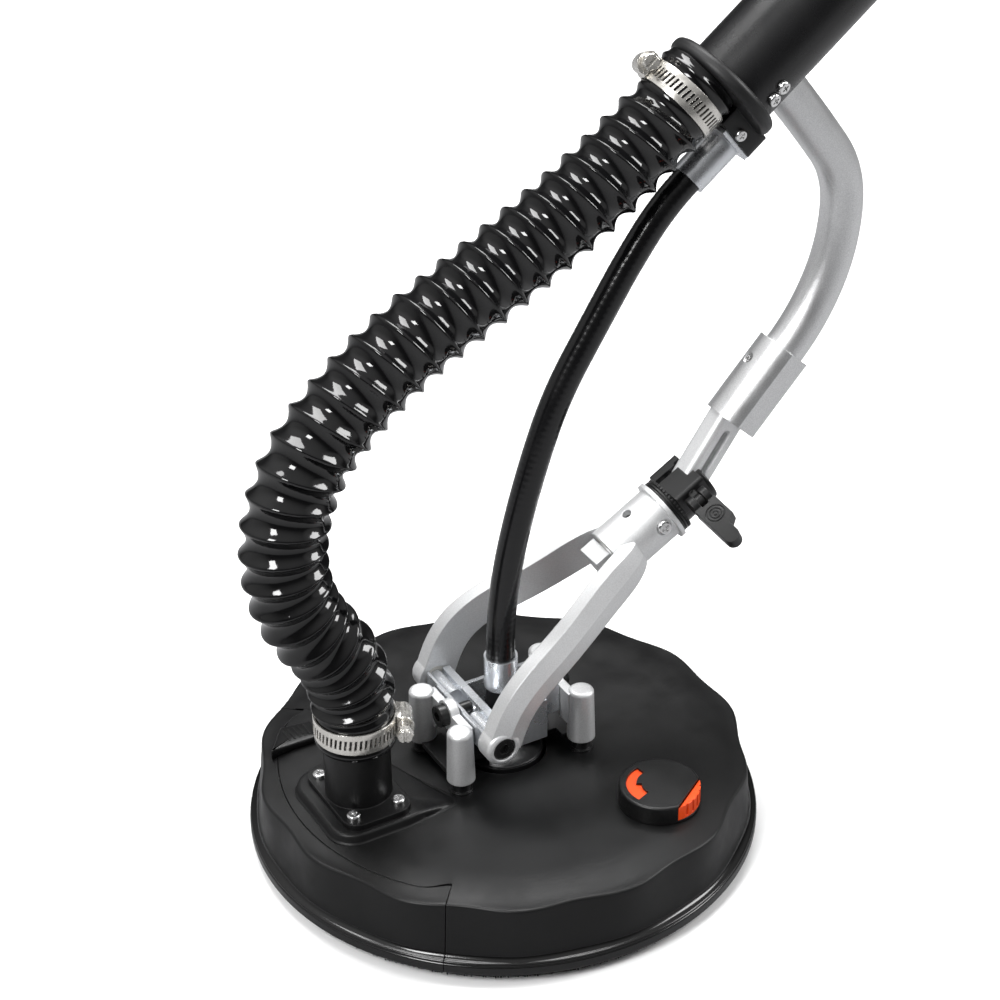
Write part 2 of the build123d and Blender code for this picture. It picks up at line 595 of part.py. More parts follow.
cap = Pos(0, FLANGE_UP, FLANGE_LOW) * Cylinder(FLANGE_R, FLANGE_T, align=STANDING)
cap = fillet(cap.edges(), 2.8)
lower = Pos(0, -13.0, CAP_LOW) * Box(26, 32, FLANGE_LOW - CAP_LOW + 2, align=STANDING)
cap += fillet(lower.edges().filter_by(Axis.Z), 6.0)
cap -= Pos(0, SPIGOT_UP, -40) * Cylinder(HOSE_R + 2.0, 40 + FLANGE_LOW - 0.02, align=STANDING)
cap += Cylinder(POLE_BORE_R - 0.02, 8, align=STANDING)
pole_seat = Cylinder(POLE_R + 0.02, 20, align=STANDING)
pole_seat -= Cylinder(POLE_BORE_R - 0.02, 20, align=STANDING)
cap -= pole_seat
cap += Pos(0, SPIGOT_UP, -32) * Cylinder(PORT_R, 30, align=STANDING)
cap -= Pos(0, SPIGOT_UP, -60) * Cylinder(PORT_BORE_R, 64, align=STANDING)
cap -= Pos(0, 5.2, 3) * Cylinder(13.8, 60, align=STANDING)
cap = ON_POLE * cap
cap -= bar(in_pole(0, CABLE_UP, -40), casing_top + along_pole * 0.1, CASING_R)
cap -= tube_along(smooth_path(core_bend), CORE_R + 0.4)
CAP_SCREW = ON_POLE * Pos(-13.0, -13.0, -9.4) * Rot(0, -90, 0)
cap -= CAP_SCREW * Pos(0, 0, -8) * Cylinder(1.95, 10, align=STANDING)
keep("end_cap", cap.solids().sort_by(SortBy.VOLUME)[-1])
keep("cap_screw", CAP_SCREW * pan_screw(2.9, 2.0, 1.9, 3.5))
ferrule = Pos(0, CABLE_UP, -38) * Cylinder(8.5, 23.4, align=STANDING)
ferrule += Pos(0, CABLE_UP + 2.4, CAP_LOW - 2.1) * Box(22, 20, 2.0, align=STANDING)
ferrule -= Pos(0, CABLE_UP, -60) * Cylinder(CASING_R + 0.02, 80, align=STANDING)
keep("upper_ferrule", ON_POLE * ferrule)

guide = Pos(0, GUIDE_UP, GUIDE_LOW) * Cylinder(GUIDE_R, GUIDE_END - GUIDE_LOW, align=STANDING)
guide -= Pos(0, GUIDE_UP, 0) * Cylinder(CORE_R + 0.5, 400, align=STANDING)
keep("guide_tube", ON_POLE * guide)
casing = tube_along(casing_path, CASING_R - 0.03) - tube_along(casing_path, CORE_R + 0.3)
keep("flex_casing", casing)
keep("flex_core", tube_along(core_path, CORE_R - 0.6))

PLUG_AT = GUIDE_END
plug = Pos(0, 0, PLUG_AT) * Cylinder(POLE_BORE_R - 0.02, 8, align=STANDING)
plug -= Pos(0, 9.5, PLUG_AT) * Cylinder(8.5, 30, align=CENTRED)
plug -= Pos(0, GUIDE_UP, PLUG_AT) * Cylinder(6.0 + RUN, 30, align=CENTRED)
for angle in (-62, 62):
    window = Rot(0, 0, angle) * Pos(0, 12.6, PLUG_AT) * Cylinder(5.4, 30, align=CENTRED)
    plug -= window
keep("guide_plug", ON_POLE * plug)
DRIVE_R = 4.0
drive = Pos(0, GUIDE_UP, PLUG_AT + 0.4) * Cylinder(6.0, 10, align=STANDING)
drive += Pos(0, GUIDE_UP, PLUG_AT + 0.4) * Cylinder(DRIVE_R, 24, align=STANDING)
drive -= Pos(0, GUIDE_UP, PLUG_AT + 24.4) * Box(2.2, 20, 6)
keep("drive_end", ON_POLE * drive)

# ---- hose and its clamps ---------------------------------------------------------------------------
HOSE_LOW = 79.4
hose_start = Vector(PORT[0], PORT[1], HOSE_LOW)
hose_end = in_pole(0, SPIGOT_UP, FLANGE_LOW - 0.6)
hose_path = smooth_path((
    (hose_start, UPWARDS), (Vector(PORT[0], PORT[1], PORT_TOP + 0.5), UPWARDS),
    (Vector(-109.8, -1.5, 189.5), UPWARDS), (Vector(-27.5, 0, 287.5), heading(26)),
    (in_pole(0, SPIGOT_UP, -33), along_pole), (hose_end, along_pole)))
hose = tube_along(hose_path, HOSE_R) - tube_along(hose_path, HOSE_BORE_R)
keep("hose", hose)
BAND_IN = HOSE_R + 0.35
BAND_OUT = BAND_IN + 0.8
BAND_W = 11.0


def hose_clamp():
    """Worm-drive clamp around z, centred on z = 0, with its screw housing on the +x side."""
    band = Cylinder(BAND_OUT, BAND_W, align=CENTRED)
    body = Pos(BAND_OUT + 2.6, 0, 0) * Box(7.2, 13, BAND_W + 2)
    body = fillet(body.edges().filter_by(Axis.Y), 2.0)
    screw = Pos(BAND_OUT + 2.9, -13, 0) * Rot(90, 0, 0) * Cylinder(3.6, 8, align=CENTRED)
    screw += Pos(BAND_OUT + 2.9, -8, 0) * Rot(90, 0, 0) * Cylinder(2.2, 10, align=CENTRED)
    return band + body + screw - Cylinder(BAND_IN, 60, align=CENTRED)


LOWER_CLAMP_AT = 89.5
UPPER_CLAMP_AT = -17.0
keep("lower_clamp", Pos(PORT[0], PORT[1], LOWER_CLAMP_AT) * Rot(0, 0, -25) * hose_clamp())
keep("upper_clamp", ON_POLE * Pos(0, SPIGOT_UP, UPPER_CLAMP_AT) * Rot(0, 0, 60) * Rot(180, 0, 0) * hose_clamp())

# ---- shroud ----------------------------------------------------------------------------------------
shell = Pos(0, 0, WALL_BOTTOM) * Cone(RIM_R - 1.0, ROOF_R + 1.5, ROOF - WALL_BOTTOM, align=STANDING)
shell = fillet(shell.edges().sort_by(Axis.Z)[-1:], 3.0)
shell -= Pos(0, 0, WALL_BOTTOM - 1) * Cone(
    RIM_R - 1.0 - WALL, ROOF_R + 1.5 - WALL, ROOF - ROOF_T - WALL_BOTTOM + 1, align=STANDING)
plinth_outline = make_hull((Pos(PORT[0], PORT[1]) * RectangleRounded(47, 57, 12)).edges()
                           + (Pos(-44.3, -23.5) * Circle(4.5)).edges())
plinth = Pos(0, 0, ROOF - 1) * extrude(plinth_outline, PLINTH_TOP - ROOF + 1)
shell += plinth & disc(SKIRT_INNER_R - SKIRT_GAP - 0.5, 0, 100)
shell -= disc(PORT_BORE_R, 0, 100, *PORT)
shell -= disc(21.5, 0, 100)
for x, y in PORT_SCREWS:
    shell -= disc(1.75, 30, 60, x, y)
for x, y in leg_places:
    shell -= disc(2.0, 30, 60, x, y)
BYPASS_R = 3.6
BYPASS_AT = 11.5
bypass_places = []
for angle in (90, 150, 210):
    a = math.radians(angle)
    bypass_places.append((DIAL[0] + BYPASS_AT * math.cos(a), DIAL[1] + BYPASS_AT * math.sin(a)))
for x, y in bypass_places:
    shell -= disc(BYPASS_R, 30, 60, x, y)
shell -= disc(2.0, 30, 60, *DIAL)


def sector(half_angle, inner):
    """Everything within half_angle of -X and outside the inner radius."""
    reach = 400.0
    a = math.radians(half_angle)
    corner = (-reach * math.cos(a), reach * math.sin(a))
    wedge = make_face(Polyline((0, 0), corner, (-2 * reach, corner[1]), (-2 * reach, -corner[1]),
                               (corner[0], -corner[1]), close=True))
    return Pos(0, 0, -50) * extrude(wedge, 300) - disc(inner, -60, 300)


gap_angle = math.degrees(SKIRT_GAP / RIM_R)
fixed_zone = sector(SKIRT_HALF_ANGLE, SKIRT_INNER_R)
loose_zone = sector(SKIRT_HALF_ANGLE - gap_angle, SKIRT_INNER_R + SKIRT_GAP)
keep("shroud", shell - fixed_zone)
keep("front_skirt", shell & loose_zone)
brush = ring(BRUSH_OUTER_R, BRUSH_INNER_R, 0, WALL_BOTTOM + 1)
keep("brush_strip", brush - fixed_zone)
keep("front_brush", brush & loose_zone)
rim = ring(RIM_R, RIM_INNER_R, RIM_BOTTOM, WALL_BOTTOM)
rim = fillet(rim.edges().filter_by(GeomType.CIRCLE).sort_by(SortBy.LENGTH)[-2:], 1.2)
keep("rim_band", rim - fixed_zone)
keep("front_rim", rim & loose_zone)

posts = []
springs = []
post_screws = []
for x, y in leg_places:
    post = disc(POST_R, ROOF, POST_TOP, x, y) + disc(5.6, ROOF, ROOF + 1.2, x, y)
    posts.append(post - disc(2.0, 0, ROOF + 10, x, y))
    coil = Pos(x, y, POST_TOP + 0.7) * Helix(2.2, LEG_BORE_TOP - POST_TOP - 1.4, 3.5)
    springs.append(sweep(Plane(origin=coil @ 0, z_dir=coil % 0) * Circle(0.55), path=coil, is_frenet=True))
    screw = Pos(x, y, ROOF - ROOF_T) * Rot(180, 0, 0) * pan_screw(3.4, 2.2, 1.95, 9.0)
    post_screws.append(screw)
keep("shroud_posts", posts)
keep("leg_springs", springs)
keep("post_screws", post_screws)

base = Pos(PORT[0], PORT[1], PLINTH_TOP) * extrude(RectangleRounded(35, 51, 8), FLANGE_TOP - PLINTH_TOP)
port = base + disc(PORT_R, PLINTH_TOP, PORT_TOP, *PORT)
port -= disc(PORT_BORE_R, 0, 100, *PORT)
for x, y in PORT_SCREWS:
    port -= disc(1.75, 30, 60, x, y)
keep("hose_port", port)
keep("port_screws", [Pos(x, y, FLANGE_TOP) * pan_screw(3.3, 2.2, 1.7, 9.0) for x, y in PORT_SCREWS])

# ---- suction dial ----------------------------------------------------------------------------------
# An orange shutter under a black cap. Both turn on one screw and open holes in the roof.
DIAL_LOW = ROOF + 0.3
DIAL_TOP = ROOF + DIAL_CAP_H
CAP_PLATE = 1.2
CAP_WALL = 1.6
GRIP_FLAT = 14.9  # distance from the dial's axis to the flat the grip sits on
GRIP_ANGLE = -56.0
DIAL_SCREW_R = 1.75
AT_DIAL = Pos(DIAL[0], DIAL[1], 0)
BEYOND_FLAT = AT_DIAL * Rot(0, 0, GRIP_ANGLE)


def dial_sector(start, end, inner, outer, low, high):
    """Part of a ring around the dial's axis, between two angles less than half a turn apart."""
    corners = [(0, 0)]
    for angle, reach in ((start, 60), ((start + end) / 2, 80), (end, 60)):
        corners.append((reach * math.cos(math.radians(angle)), reach * math.sin(math.radians(angle))))
    wedge = extrude(make_face(Polyline(*corners, close=True)), high - low)
    return ring(outer, inner, low, high, *DIAL) & AT_DIAL * Pos(0, 0, low) * wedge


dial_cap = disc(DIAL_CAP_R, DIAL_LOW, DIAL_TOP, *DIAL)
dial_cap = fillet(dial_cap.edges().sort_by(Axis.Z)[-1:], 1.2)
dial_cap -= disc(DIAL_CAP_R - CAP_WALL, 0, DIAL_TOP - CAP_PLATE, *DIAL)
dial_cap += disc(3.4, DIAL_LOW, DIAL_TOP - 0.5, *DIAL)
dial_cap -= disc(DIAL_SCREW_R, 0, ROOF + 6, *DIAL)
dial_cap -= dial_sector(100, 151, 11.0, 16.0, ROOF + 5, DIAL_TOP + 1)
dial_cap -= dial_sector(149, 200, 8.5, 16.0, ROOF + 5, DIAL_TOP + 1)
dial_cap -= BEYOND_FLAT * Pos(GRIP_FLAT + 10, 0, DIAL_LOW + 1.2) * Box(20, 60, 30, align=STANDING)
keep("dial_cap", dial_cap)

shutter = ring(DIAL_CAP_R - CAP_WALL - 0.1, 3.5, DIAL_LOW, ROOF + 3.2, *DIAL)
shutter += dial_sector(97, 203, 7.6, DIAL_CAP_R - CAP_WALL - 0.4, ROOF + 3, DIAL_TOP - CAP_PLATE - 0.1)
grip = disc(DIAL_CAP_R - 0.1, DIAL_LOW + 1.3, DIAL_TOP - 0.8, *DIAL)
grip &= BEYOND_FLAT * Pos(GRIP_FLAT + 10.1, 0, 0) * Box(20, 60, 100, align=STANDING)
grip = chamfer(grip.edges().sort_by(Axis.Z)[-1:], 0.8)
for angle in range(-80, -31, 12):
    a = math.radians(angle)
    rib_x = DIAL[0] + (DIAL_CAP_R + 0.2) * math.cos(a)
    rib_y = DIAL[1] + (DIAL_CAP_R + 0.2) * math.sin(a)
    grip -= disc(0.9, DIAL_LOW + 2.4, DIAL_TOP, rib_x, rib_y)
shutter += grip
for x, y in bypass_places:
    shutter -= disc(BYPASS_R, 30, ROOF + 4, x, y)
keep("suction_dial", shutter)
under_roof = Pos(DIAL[0], DIAL[1], ROOF - ROOF_T - 0.05) * Rot(180, 0, 0)
keep("dial_screw", under_roof * pan_screw(3.4, 2.2, DIAL_SCREW_R, 9.0))

os.makedirs("parts", exist_ok=True)
for name, shape in parts.items():
    export_step(shape, os.path.join("parts", name + ".step"))
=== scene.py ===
"""Looks for the pole drywall sander head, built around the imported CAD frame.

Everything is in metres in the CAD frame: +Z up along the disc's axis, +X from the disc towards the pole.
"""
import json
import math

import bmesh
import bpy
import numpy as np
from mathutils import Matrix, Vector


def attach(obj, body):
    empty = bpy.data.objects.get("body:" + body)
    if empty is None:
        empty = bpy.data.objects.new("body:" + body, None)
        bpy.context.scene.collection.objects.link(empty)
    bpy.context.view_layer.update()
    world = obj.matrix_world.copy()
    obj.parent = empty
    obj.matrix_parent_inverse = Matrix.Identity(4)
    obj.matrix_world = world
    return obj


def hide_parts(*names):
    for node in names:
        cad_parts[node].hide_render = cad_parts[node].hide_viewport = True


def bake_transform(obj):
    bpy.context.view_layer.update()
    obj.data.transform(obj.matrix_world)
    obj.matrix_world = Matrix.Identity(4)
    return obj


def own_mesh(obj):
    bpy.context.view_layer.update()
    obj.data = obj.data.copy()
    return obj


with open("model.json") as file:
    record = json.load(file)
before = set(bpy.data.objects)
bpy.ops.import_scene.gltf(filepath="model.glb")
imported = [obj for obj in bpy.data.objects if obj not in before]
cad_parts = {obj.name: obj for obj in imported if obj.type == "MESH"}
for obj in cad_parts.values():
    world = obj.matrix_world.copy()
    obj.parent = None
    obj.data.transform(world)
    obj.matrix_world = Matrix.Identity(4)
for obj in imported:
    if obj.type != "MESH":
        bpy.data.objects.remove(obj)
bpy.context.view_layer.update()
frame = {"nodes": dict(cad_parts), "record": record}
nodes = frame["nodes"]
MM = 0.001


# ---- materials -------------------------------------------------------------------------------------
def link(tree, source, target):
    tree.links.new(source, target)


def finish_material(name, colour, rough, metallic=0.0, tint=0.25, spread=0.08, blotch=60.0, grain=1400.0,
                    depth=0.00003, edge=0.0006, coat=0.0, wear=0.0, wear_colour=(0.5, 0.5, 0.5), specular=0.5,
                    stretch=(1.0, 1.0, 1.0)):
    """A painted, moulded or metal surface: fine grain, blotches of roughness, soft and worn edges."""
    made = bpy.data.materials.new(name)
    made.use_nodes = True
    tree = made.node_tree
    shader = tree.nodes["Principled BSDF"]
    shader.inputs["Metallic"].default_value = metallic
    shader.inputs["Coat Weight"].default_value = coat
    shader.inputs["Coat Roughness"].default_value = 0.06
    shader.inputs["Specular IOR Level"].default_value = specular
    place = tree.nodes.new("ShaderNodeTexCoord")
    mapping = tree.nodes.new("ShaderNodeMapping")
    mapping.inputs["Scale"].default_value = stretch
    link(tree, place.outputs["Object"], mapping.inputs["Vector"])
    patches = tree.nodes.new("ShaderNodeTexNoise")
    patches.inputs["Scale"].default_value = blotch
    patches.inputs["Detail"].default_value = 5.0
    link(tree, mapping.outputs["Vector"], patches.inputs["Vector"])
    fine = tree.nodes.new("ShaderNodeTexNoise")
    fine.inputs["Scale"].default_value = grain
    fine.inputs["Detail"].default_value = 2.0
    link(tree, mapping.outputs["Vector"], fine.inputs["Vector"])
    ramp = tree.nodes.new("ShaderNodeMapRange")
    ramp.inputs["From Min"].default_value = 0.3
    ramp.inputs["From Max"].default_value = 0.7
    ramp.inputs["To Min"].default_value = rough - spread
    ramp.inputs["To Max"].default_value = rough + spread
    link(tree, patches.outputs["Fac"], ramp.inputs["Value"])
    link(tree, ramp.outputs["Result"], shader.inputs["Roughness"])
    blend = tree.nodes.new("ShaderNodeMix")
    blend.data_type = "RGBA"
    blend.inputs["A"].default_value = (*[c * (1 - tint) for c in colour], 1)
    blend.inputs["B"].default_value = (*[min(1, c * (1 + tint)) for c in colour], 1)
    link(tree, fine.outputs["Fac"], blend.inputs["Factor"])
    last = blend.outputs["Result"]
    soft = tree.nodes.new("ShaderNodeBevel")
    soft.samples = 4
    soft.inputs["Radius"].default_value = edge
    if wear > 0:
        plain = tree.nodes.new("ShaderNodeNewGeometry")
        turn = tree.nodes.new("ShaderNodeVectorMath")
        turn.operation = "DOT_PRODUCT"
        link(tree, soft.outputs["Normal"], turn.inputs[0])
        link(tree, plain.outputs["Normal"], turn.inputs[1])
        worn = tree.nodes.new("ShaderNodeMapRange")
        worn.inputs["From Min"].default_value = 0.995
        worn.inputs["From Max"].default_value = 0.86
        worn.inputs["To Max"].default_value = wear
        link(tree, turn.outputs["Value"], worn.inputs["Value"])
        rub = tree.nodes.new("ShaderNodeMath")
        rub.operation = "MULTIPLY"
        link(tree, worn.outputs["Result"], rub.inputs[0])
        link(tree, patches.outputs["Fac"], rub.inputs[1])
        over = tree.nodes.new("ShaderNodeMix")
        over.data_type = "RGBA"
        over.inputs["B"].default_value = (*wear_colour, 1)
        link(tree, last, over.inputs["A"])
        link(tree, rub.outputs["Value"], over.inputs["Factor"])
        last = over.outputs["Result"]
    link(tree, last, shader.inputs["Base Color"])
    bump = tree.nodes.new("ShaderNodeBump")
    bump.inputs["Strength"].default_value = 1.0
    bump.inputs["Distance"].default_value = depth
    link(tree, fine.outputs["Fac"], bump.inputs["Height"])
    link(tree, soft.outputs["Normal"], bump.inputs["Normal"])
    link(tree, bump.outputs["Normal"], shader.inputs["Normal"])
    return made


LOOK = {
    "pole_black": finish_material("pole_black", (0.006, 0.006, 0.0065), 0.27, grain=2600, depth=0.00001,
        spread=0.04),
    "shroud_black": finish_material("shroud_black", (0.0042, 0.0042, 0.0044), 0.40, grain=2200,
        depth=0.00002, edge=0.0008, wear=0.25, wear_colour=(0.10, 0.10, 0.10), specular=0.30),
    "moulded_black": finish_material("moulded_black", (0.005, 0.005, 0.0052), 0.36, edge=0.0005,
        wear=0.2, wear_colour=(0.08, 0.08, 0.08), specular=0.42),
    "rubber_black": finish_material("rubber_black", (0.007, 0.007, 0.0075), 0.48, grain=1800,
        specular=0.4),
    "cast_black": finish_material("cast_black", (0.006, 0.006, 0.0065), 0.34, grain=900, depth=0.00004),
    "cast_aluminium": finish_material("cast_aluminium", (0.72, 0.725, 0.73), 0.44, metallic=0.65,
        tint=0.16, grain=1500, depth=0.00006, edge=0.0009, spread=0.05),
    "blasted_aluminium": finish_material("blasted_aluminium", (0.68, 0.685, 0.69), 0.34, metallic=0.9,
        tint=0.28, grain=1900, depth=0.00011, spread=0.04, edge=0.0005),
    "zinc_steel": finish_material("zinc_steel", (0.74, 0.76, 0.79), 0.27, metallic=0.85, tint=0.06,
        blotch=90, grain=500, depth=0.000012, edge=0.0004, spread=0.04),
    "clamp_steel": finish_material("clamp_steel", (0.74, 0.72, 0.68), 0.26, metallic=0.9, tint=0.06,
        blotch=240, grain=1800, depth=0.00001, edge=0.00025),
    "screw_chrome": finish_material("screw_chrome", (0.78, 0.78, 0.78), 0.19, metallic=1.0, tint=0.05,
        edge=0.0003),
    "screw_black": finish_material("screw_black", (0.007, 0.007, 0.007), 0.28, edge=0.0004),
    "spring_steel": finish_material("spring_steel", (0.42, 0.43, 0.45), 0.25, metallic=1.0, tint=0.08),
    "hose_gloss": finish_material("hose_gloss", (0.003, 0.003, 0.0033), 0.075, grain=420, depth=0.00003,
        spread=0.025, edge=0.0001, specular=0.5),
    "cable_black": finish_material("cable_black", (0.0045, 0.0045, 0.005), 0.19, grain=900,
        depth=0.00003, edge=0.0001, specular=0.45),
    "bush_nylon": finish_material("bush_nylon", (0.60, 0.59, 0.55), 0.45),
    "plate_grey": finish_material("plate_grey", (0.07, 0.07, 0.07), 0.5),
    "foam_grey": finish_material("foam_grey", (0.10, 0.10, 0.105), 0.9, grain=500, depth=0.0004,
        tint=0.5),
    "abrasive": finish_material("abrasive", (0.30, 0.25, 0.17), 0.85, grain=2600, depth=0.00015,
        tint=0.5),
    "rim_gloss": finish_material("rim_gloss", (0.0035, 0.0035, 0.0035), 0.15, edge=0.0005, grain=700,
        spread=0.04, depth=0.00001),
    "bristle_black": finish_material("bristle_black", (0.007, 0.007, 0.007), 0.5, edge=0.0001,
        specular=0.3),
    "dial_orange": finish_material("dial_orange", (0.86, 0.075, 0.008), 0.38, tint=0.05, edge=0.0004),
}
slot_of = {part["node"]: part["material_slot"] for part in frame["record"]["subparts"]}
for name, node in nodes.items():
    node.data.materials.clear()
    node.data.materials.append(LOOK[slot_of[name]])


# ---- mesh helpers ----------------------------------------------------------------------------------
def piece(name, points, faces, slot, body, smooth=True):
    """A new mesh piece that rides on a body and takes a slot's finish."""
    mesh = bpy.data.meshes.new(name)
    mesh.from_pydata([tuple(p) for p in points], [], faces)
    mesh.validate()
    mesh.update()
    made = bpy.data.objects.new(name, mesh)
    bpy.context.scene.collection.objects.link(made)
    mesh.materials.append(LOOK[slot])
    mesh.polygons.foreach_set("use_smooth", [smooth] * len(mesh.polygons))
    if body:
        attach(made, body)
    return made


def grid_faces(rows, columns, wrap_rows=False, wrap_columns=True, first=0):
    """Quads over a rows by columns grid of points, joined round where asked."""
    faces = []
    for i in range(rows if wrap_rows else rows - 1):
        for j in range(columns if wrap_columns else columns - 1):
            a, b = i * columns, ((i + 1) % rows) * columns
            k = (j + 1) % columns
            faces.append((first + a + j, first + a + k, first + b + k, first + b + j))
    return faces


def smooth_by_angle(made, degrees=35):
    """Sharp shading across edges steeper than the angle, smooth elsewhere."""
    mesh = bmesh.new()
    mesh.from_mesh(made.data)
    for edge in mesh.edges:
        edge.smooth = len(edge.link_faces) == 2 and edge.calc_face_angle(0) < math.radians(degrees)
    mesh.to_mesh(made.data)
    mesh.free()
    return made


def step(t):
    """Smooth step from 0 to 1."""
    t = np.clip(t, 0, 1)
    return t * t * (3 - 2 * t)


# ---- paths -----------------------------------------------------------------------------------------
POLE = Vector((0.118, 0, 0.361))
POLE_TILT = math.radians(37.4)
ALONG = Vector((math.cos(POLE_TILT), 0, math.sin(POLE_TILT)))
ABOVE = Vector((-math.sin(POLE_TILT), 0, math.cos(POLE_TILT)))
UP = Vector((0, 0, 1))
PORT = Vector((-0.0795, -0.0025, 0))
SPIGOT_UP = 14.8 * MM
CABLE_UP = -19.5 * MM


def in_pole(up, along):
    return POLE + ABOVE * up + ALONG * along


def heading(tilt):
    return Vector((math.cos(math.radians(tilt)), 0, math.sin(math.radians(tilt))))


def arc(start, tangent, end, count):
    """Points and directions on the arc that leaves start along tangent and reaches end."""
    chord = end - start
    normal = chord - tangent * chord.dot(tangent)
    if normal.length < 1e-7:
        return [(start.lerp(end, i / count), tangent) for i in range(count)]
    normal.normalize()
    radius = chord.length_squared / (2 * chord.dot(normal))
    sweep = 2 * math.atan2(chord.dot(normal), chord.dot(tangent))
    out = []
    for i in range(count):
        a = sweep * i / count
        point = start + tangent * (radius * math.sin(a)) + normal * (radius * (1 - math.cos(a)))
        out.append((point, tangent * math.cos(a) + normal * math.sin(a)))
    return out


def smooth_path(stations, spacing):
    """Evenly spaced points and directions along arcs and lines through (point, heading) stations."""
    dense = []
    for (start, leave), (end, arrive) in zip(stations, stations[1:]):
        reach = end - start
        square = 2 * (1 - leave.dot(arrive))
        linear = 2 * reach.dot(leave + arrive)
        if square < 1e-6:
            size = reach.length_squared / linear
        else:
            size = (math.sqrt(linear**2 + 4 * square * reach.length_squared) - linear) / (2 * square)
        near, far = start + leave * size, end - arrive * size
        middle = (near + far) * 0.5
        dense += arc(start, leave, middle, 80) + arc(middle, (far - near).normalized(), end, 80)
    dense.append(stations[-1])
    points = np.array([p for p, _ in dense])
    directions = np.array([d for _, d in dense])
    lengths = np.concatenate([[0], np.cumsum(np.linalg.norm(np.diff(points, axis=0), axis=1))])
    count = max(2, int(round(lengths[-1] / spacing)))
    at = np.linspace(0, lengths[-1], count + 1)
    where = np.column_stack([np.interp(at, lengths, points[:, k]) for k in range(3)])
    along = np.column_stack([np.interp(at, lengths, directions[:, k]) for k in range(3)])
    along /= np.linalg.norm(along, axis=1)[:, None]
    return at, where, along


def tube_rings(where, along, radii, sides):
    """Rings of points round a path. radii is one radius per path point and side."""
    side = np.array([0.0, 1.0, 0.0])
    across = side - along * (along @ side)[:, None]
    across /= np.linalg.norm(across, axis=1)[:, None]
    other = np.cross(along, across)
    turn = np.arange(sides) * (2 * math.pi / sides)
    spread = across[:, None, :] * np.cos(turn)[None, :, None] + other[:, None, :] * np.sin(turn)[None, :, None]
    return where[:, None, :] + spread * radii[:, :, None]


def flexible(name, at, where, along, outer, inner, slot, cuts, bodies, replaced):
    """A tube split at cuts (lengths along the path). A piece whose entry in bodies is a name rides on that
    body;
    the other pieces stay fixed where they are built.
    """
    sides = outer.shape[1]
    skin = tube_rings(where, along, outer, sides)
    lining = tube_rings(where, along, inner, sides)
    rows = len(at)
    du = np.gradient(skin, axis=0)
    dv = np.roll(skin, -1, axis=1) - np.roll(skin, 1, axis=1)
    outward = np.cross(dv, du)
    outward /= np.linalg.norm(outward, axis=2)[:, :, None]
    away = skin - where[:, None, :]
    outward *= np.sign((outward * away).sum(axis=2))[:, :, None]
    marks = [0] + [int(np.argmin(abs(at - cut))) for cut in cuts] + [rows - 1]
    for number, (low, high) in enumerate(zip(marks, marks[1:])):
        count = high - low + 1
        points = np.concatenate([skin[low:high + 1].reshape(-1, 3), lining[low:high + 1].reshape(-1, 3)])
        faces = grid_faces(count, sides)
        back = count * sides
        faces += [tuple(reversed(f)) for f in grid_faces(count, sides, first=back)]
        last = (count - 1) * sides
        for j in range(sides):
            k = (j + 1) % sides
            faces.append((k, j, back + j, back + k))
            faces.append((last + j, last + k, back + last + k, back + last + j))
        who = bodies[number]
        made = piece(f"{name}_{number + 1}", points, faces, slot, None)
        normals = [Vector(n) for n in outward[low:high + 1].reshape(-1, 3)]
        normals += [-n for n in normals]
        made.data.normals_split_custom_set_from_vertices(normals)
        if number == 0:
            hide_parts(*replaced)
        if isinstance(who, str):
            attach(made, who)
        else:
            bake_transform(made)


# ---- dust hose -------------------------------------------------------------------------------------
HOSE_SIDES = 72
PITCH = 12.3 * MM
CREST = 20.3 * MM
VALLEY = 16.7 * MM
CUFF = 18.6 * MM
HOSE_LOW = 79.4 * MM
HOSE_END = -3.6 * MM
hose_stations = [
    (PORT + UP * HOSE_LOW, UP), (PORT + UP * 0.0945, UP), (Vector((-0.1098, -0.0015, 0.1895)), UP),
    (Vector((-0.0275, 0, 0.2875)), heading(26)), (in_pole(SPIGOT_UP, -0.033), ALONG),
    (in_pole(SPIGOT_UP, HOSE_END), ALONG)]
at, where, along = smooth_path(hose_stations, PITCH / 22)
length = at[-1]
turns = np.arange(HOSE_SIDES)[None, :] / HOSE_SIDES
phase = (at[:, None] / PITCH - turns - 0.05) % 1.0
# Narrow rounded crests with hollow valleys between them, wound once round per pitch.
from_crest = np.sqrt((2 * abs(phase - 0.5)) ** 2 + 0.09 ** 2)
rise = np.clip((1.0 - from_crest) / 0.91, 0, 1) ** 1.9
ribs = VALLEY + (CREST - VALLEY) * rise
ends = (step((at - 0.0165) / 0.005) * step((length - 0.0195 - at) / 0.004))[:, None]
lip = 0.9 * MM * np.exp(-((at - 0.0020) / 0.0014) ** 2)[:, None]
collar = 1.3 * MM * np.exp(-((length - at - 0.0042) / 0.0017) ** 2)[:, None]
outer = CUFF + lip + collar + (ribs - CUFF) * ends
inner = np.where(ends > 0.5, outer - 0.9 * MM, 16.1 * MM)
inner = np.minimum(inner, outer - 0.5 * MM)
HEAD_TO_POLE = (("carrier", "gimbal"), ("gimbal", "fork"), ("fork", "pole"), "pole")
flexible("hose", at, where, along, outer, inner, "hose_gloss",
         cuts=(0.018, 0.034, 0.064, 0.230, length - 0.024),
         bodies=("shroud", ("shroud", "carrier")) + HEAD_TO_POLE, replaced=("hose",))

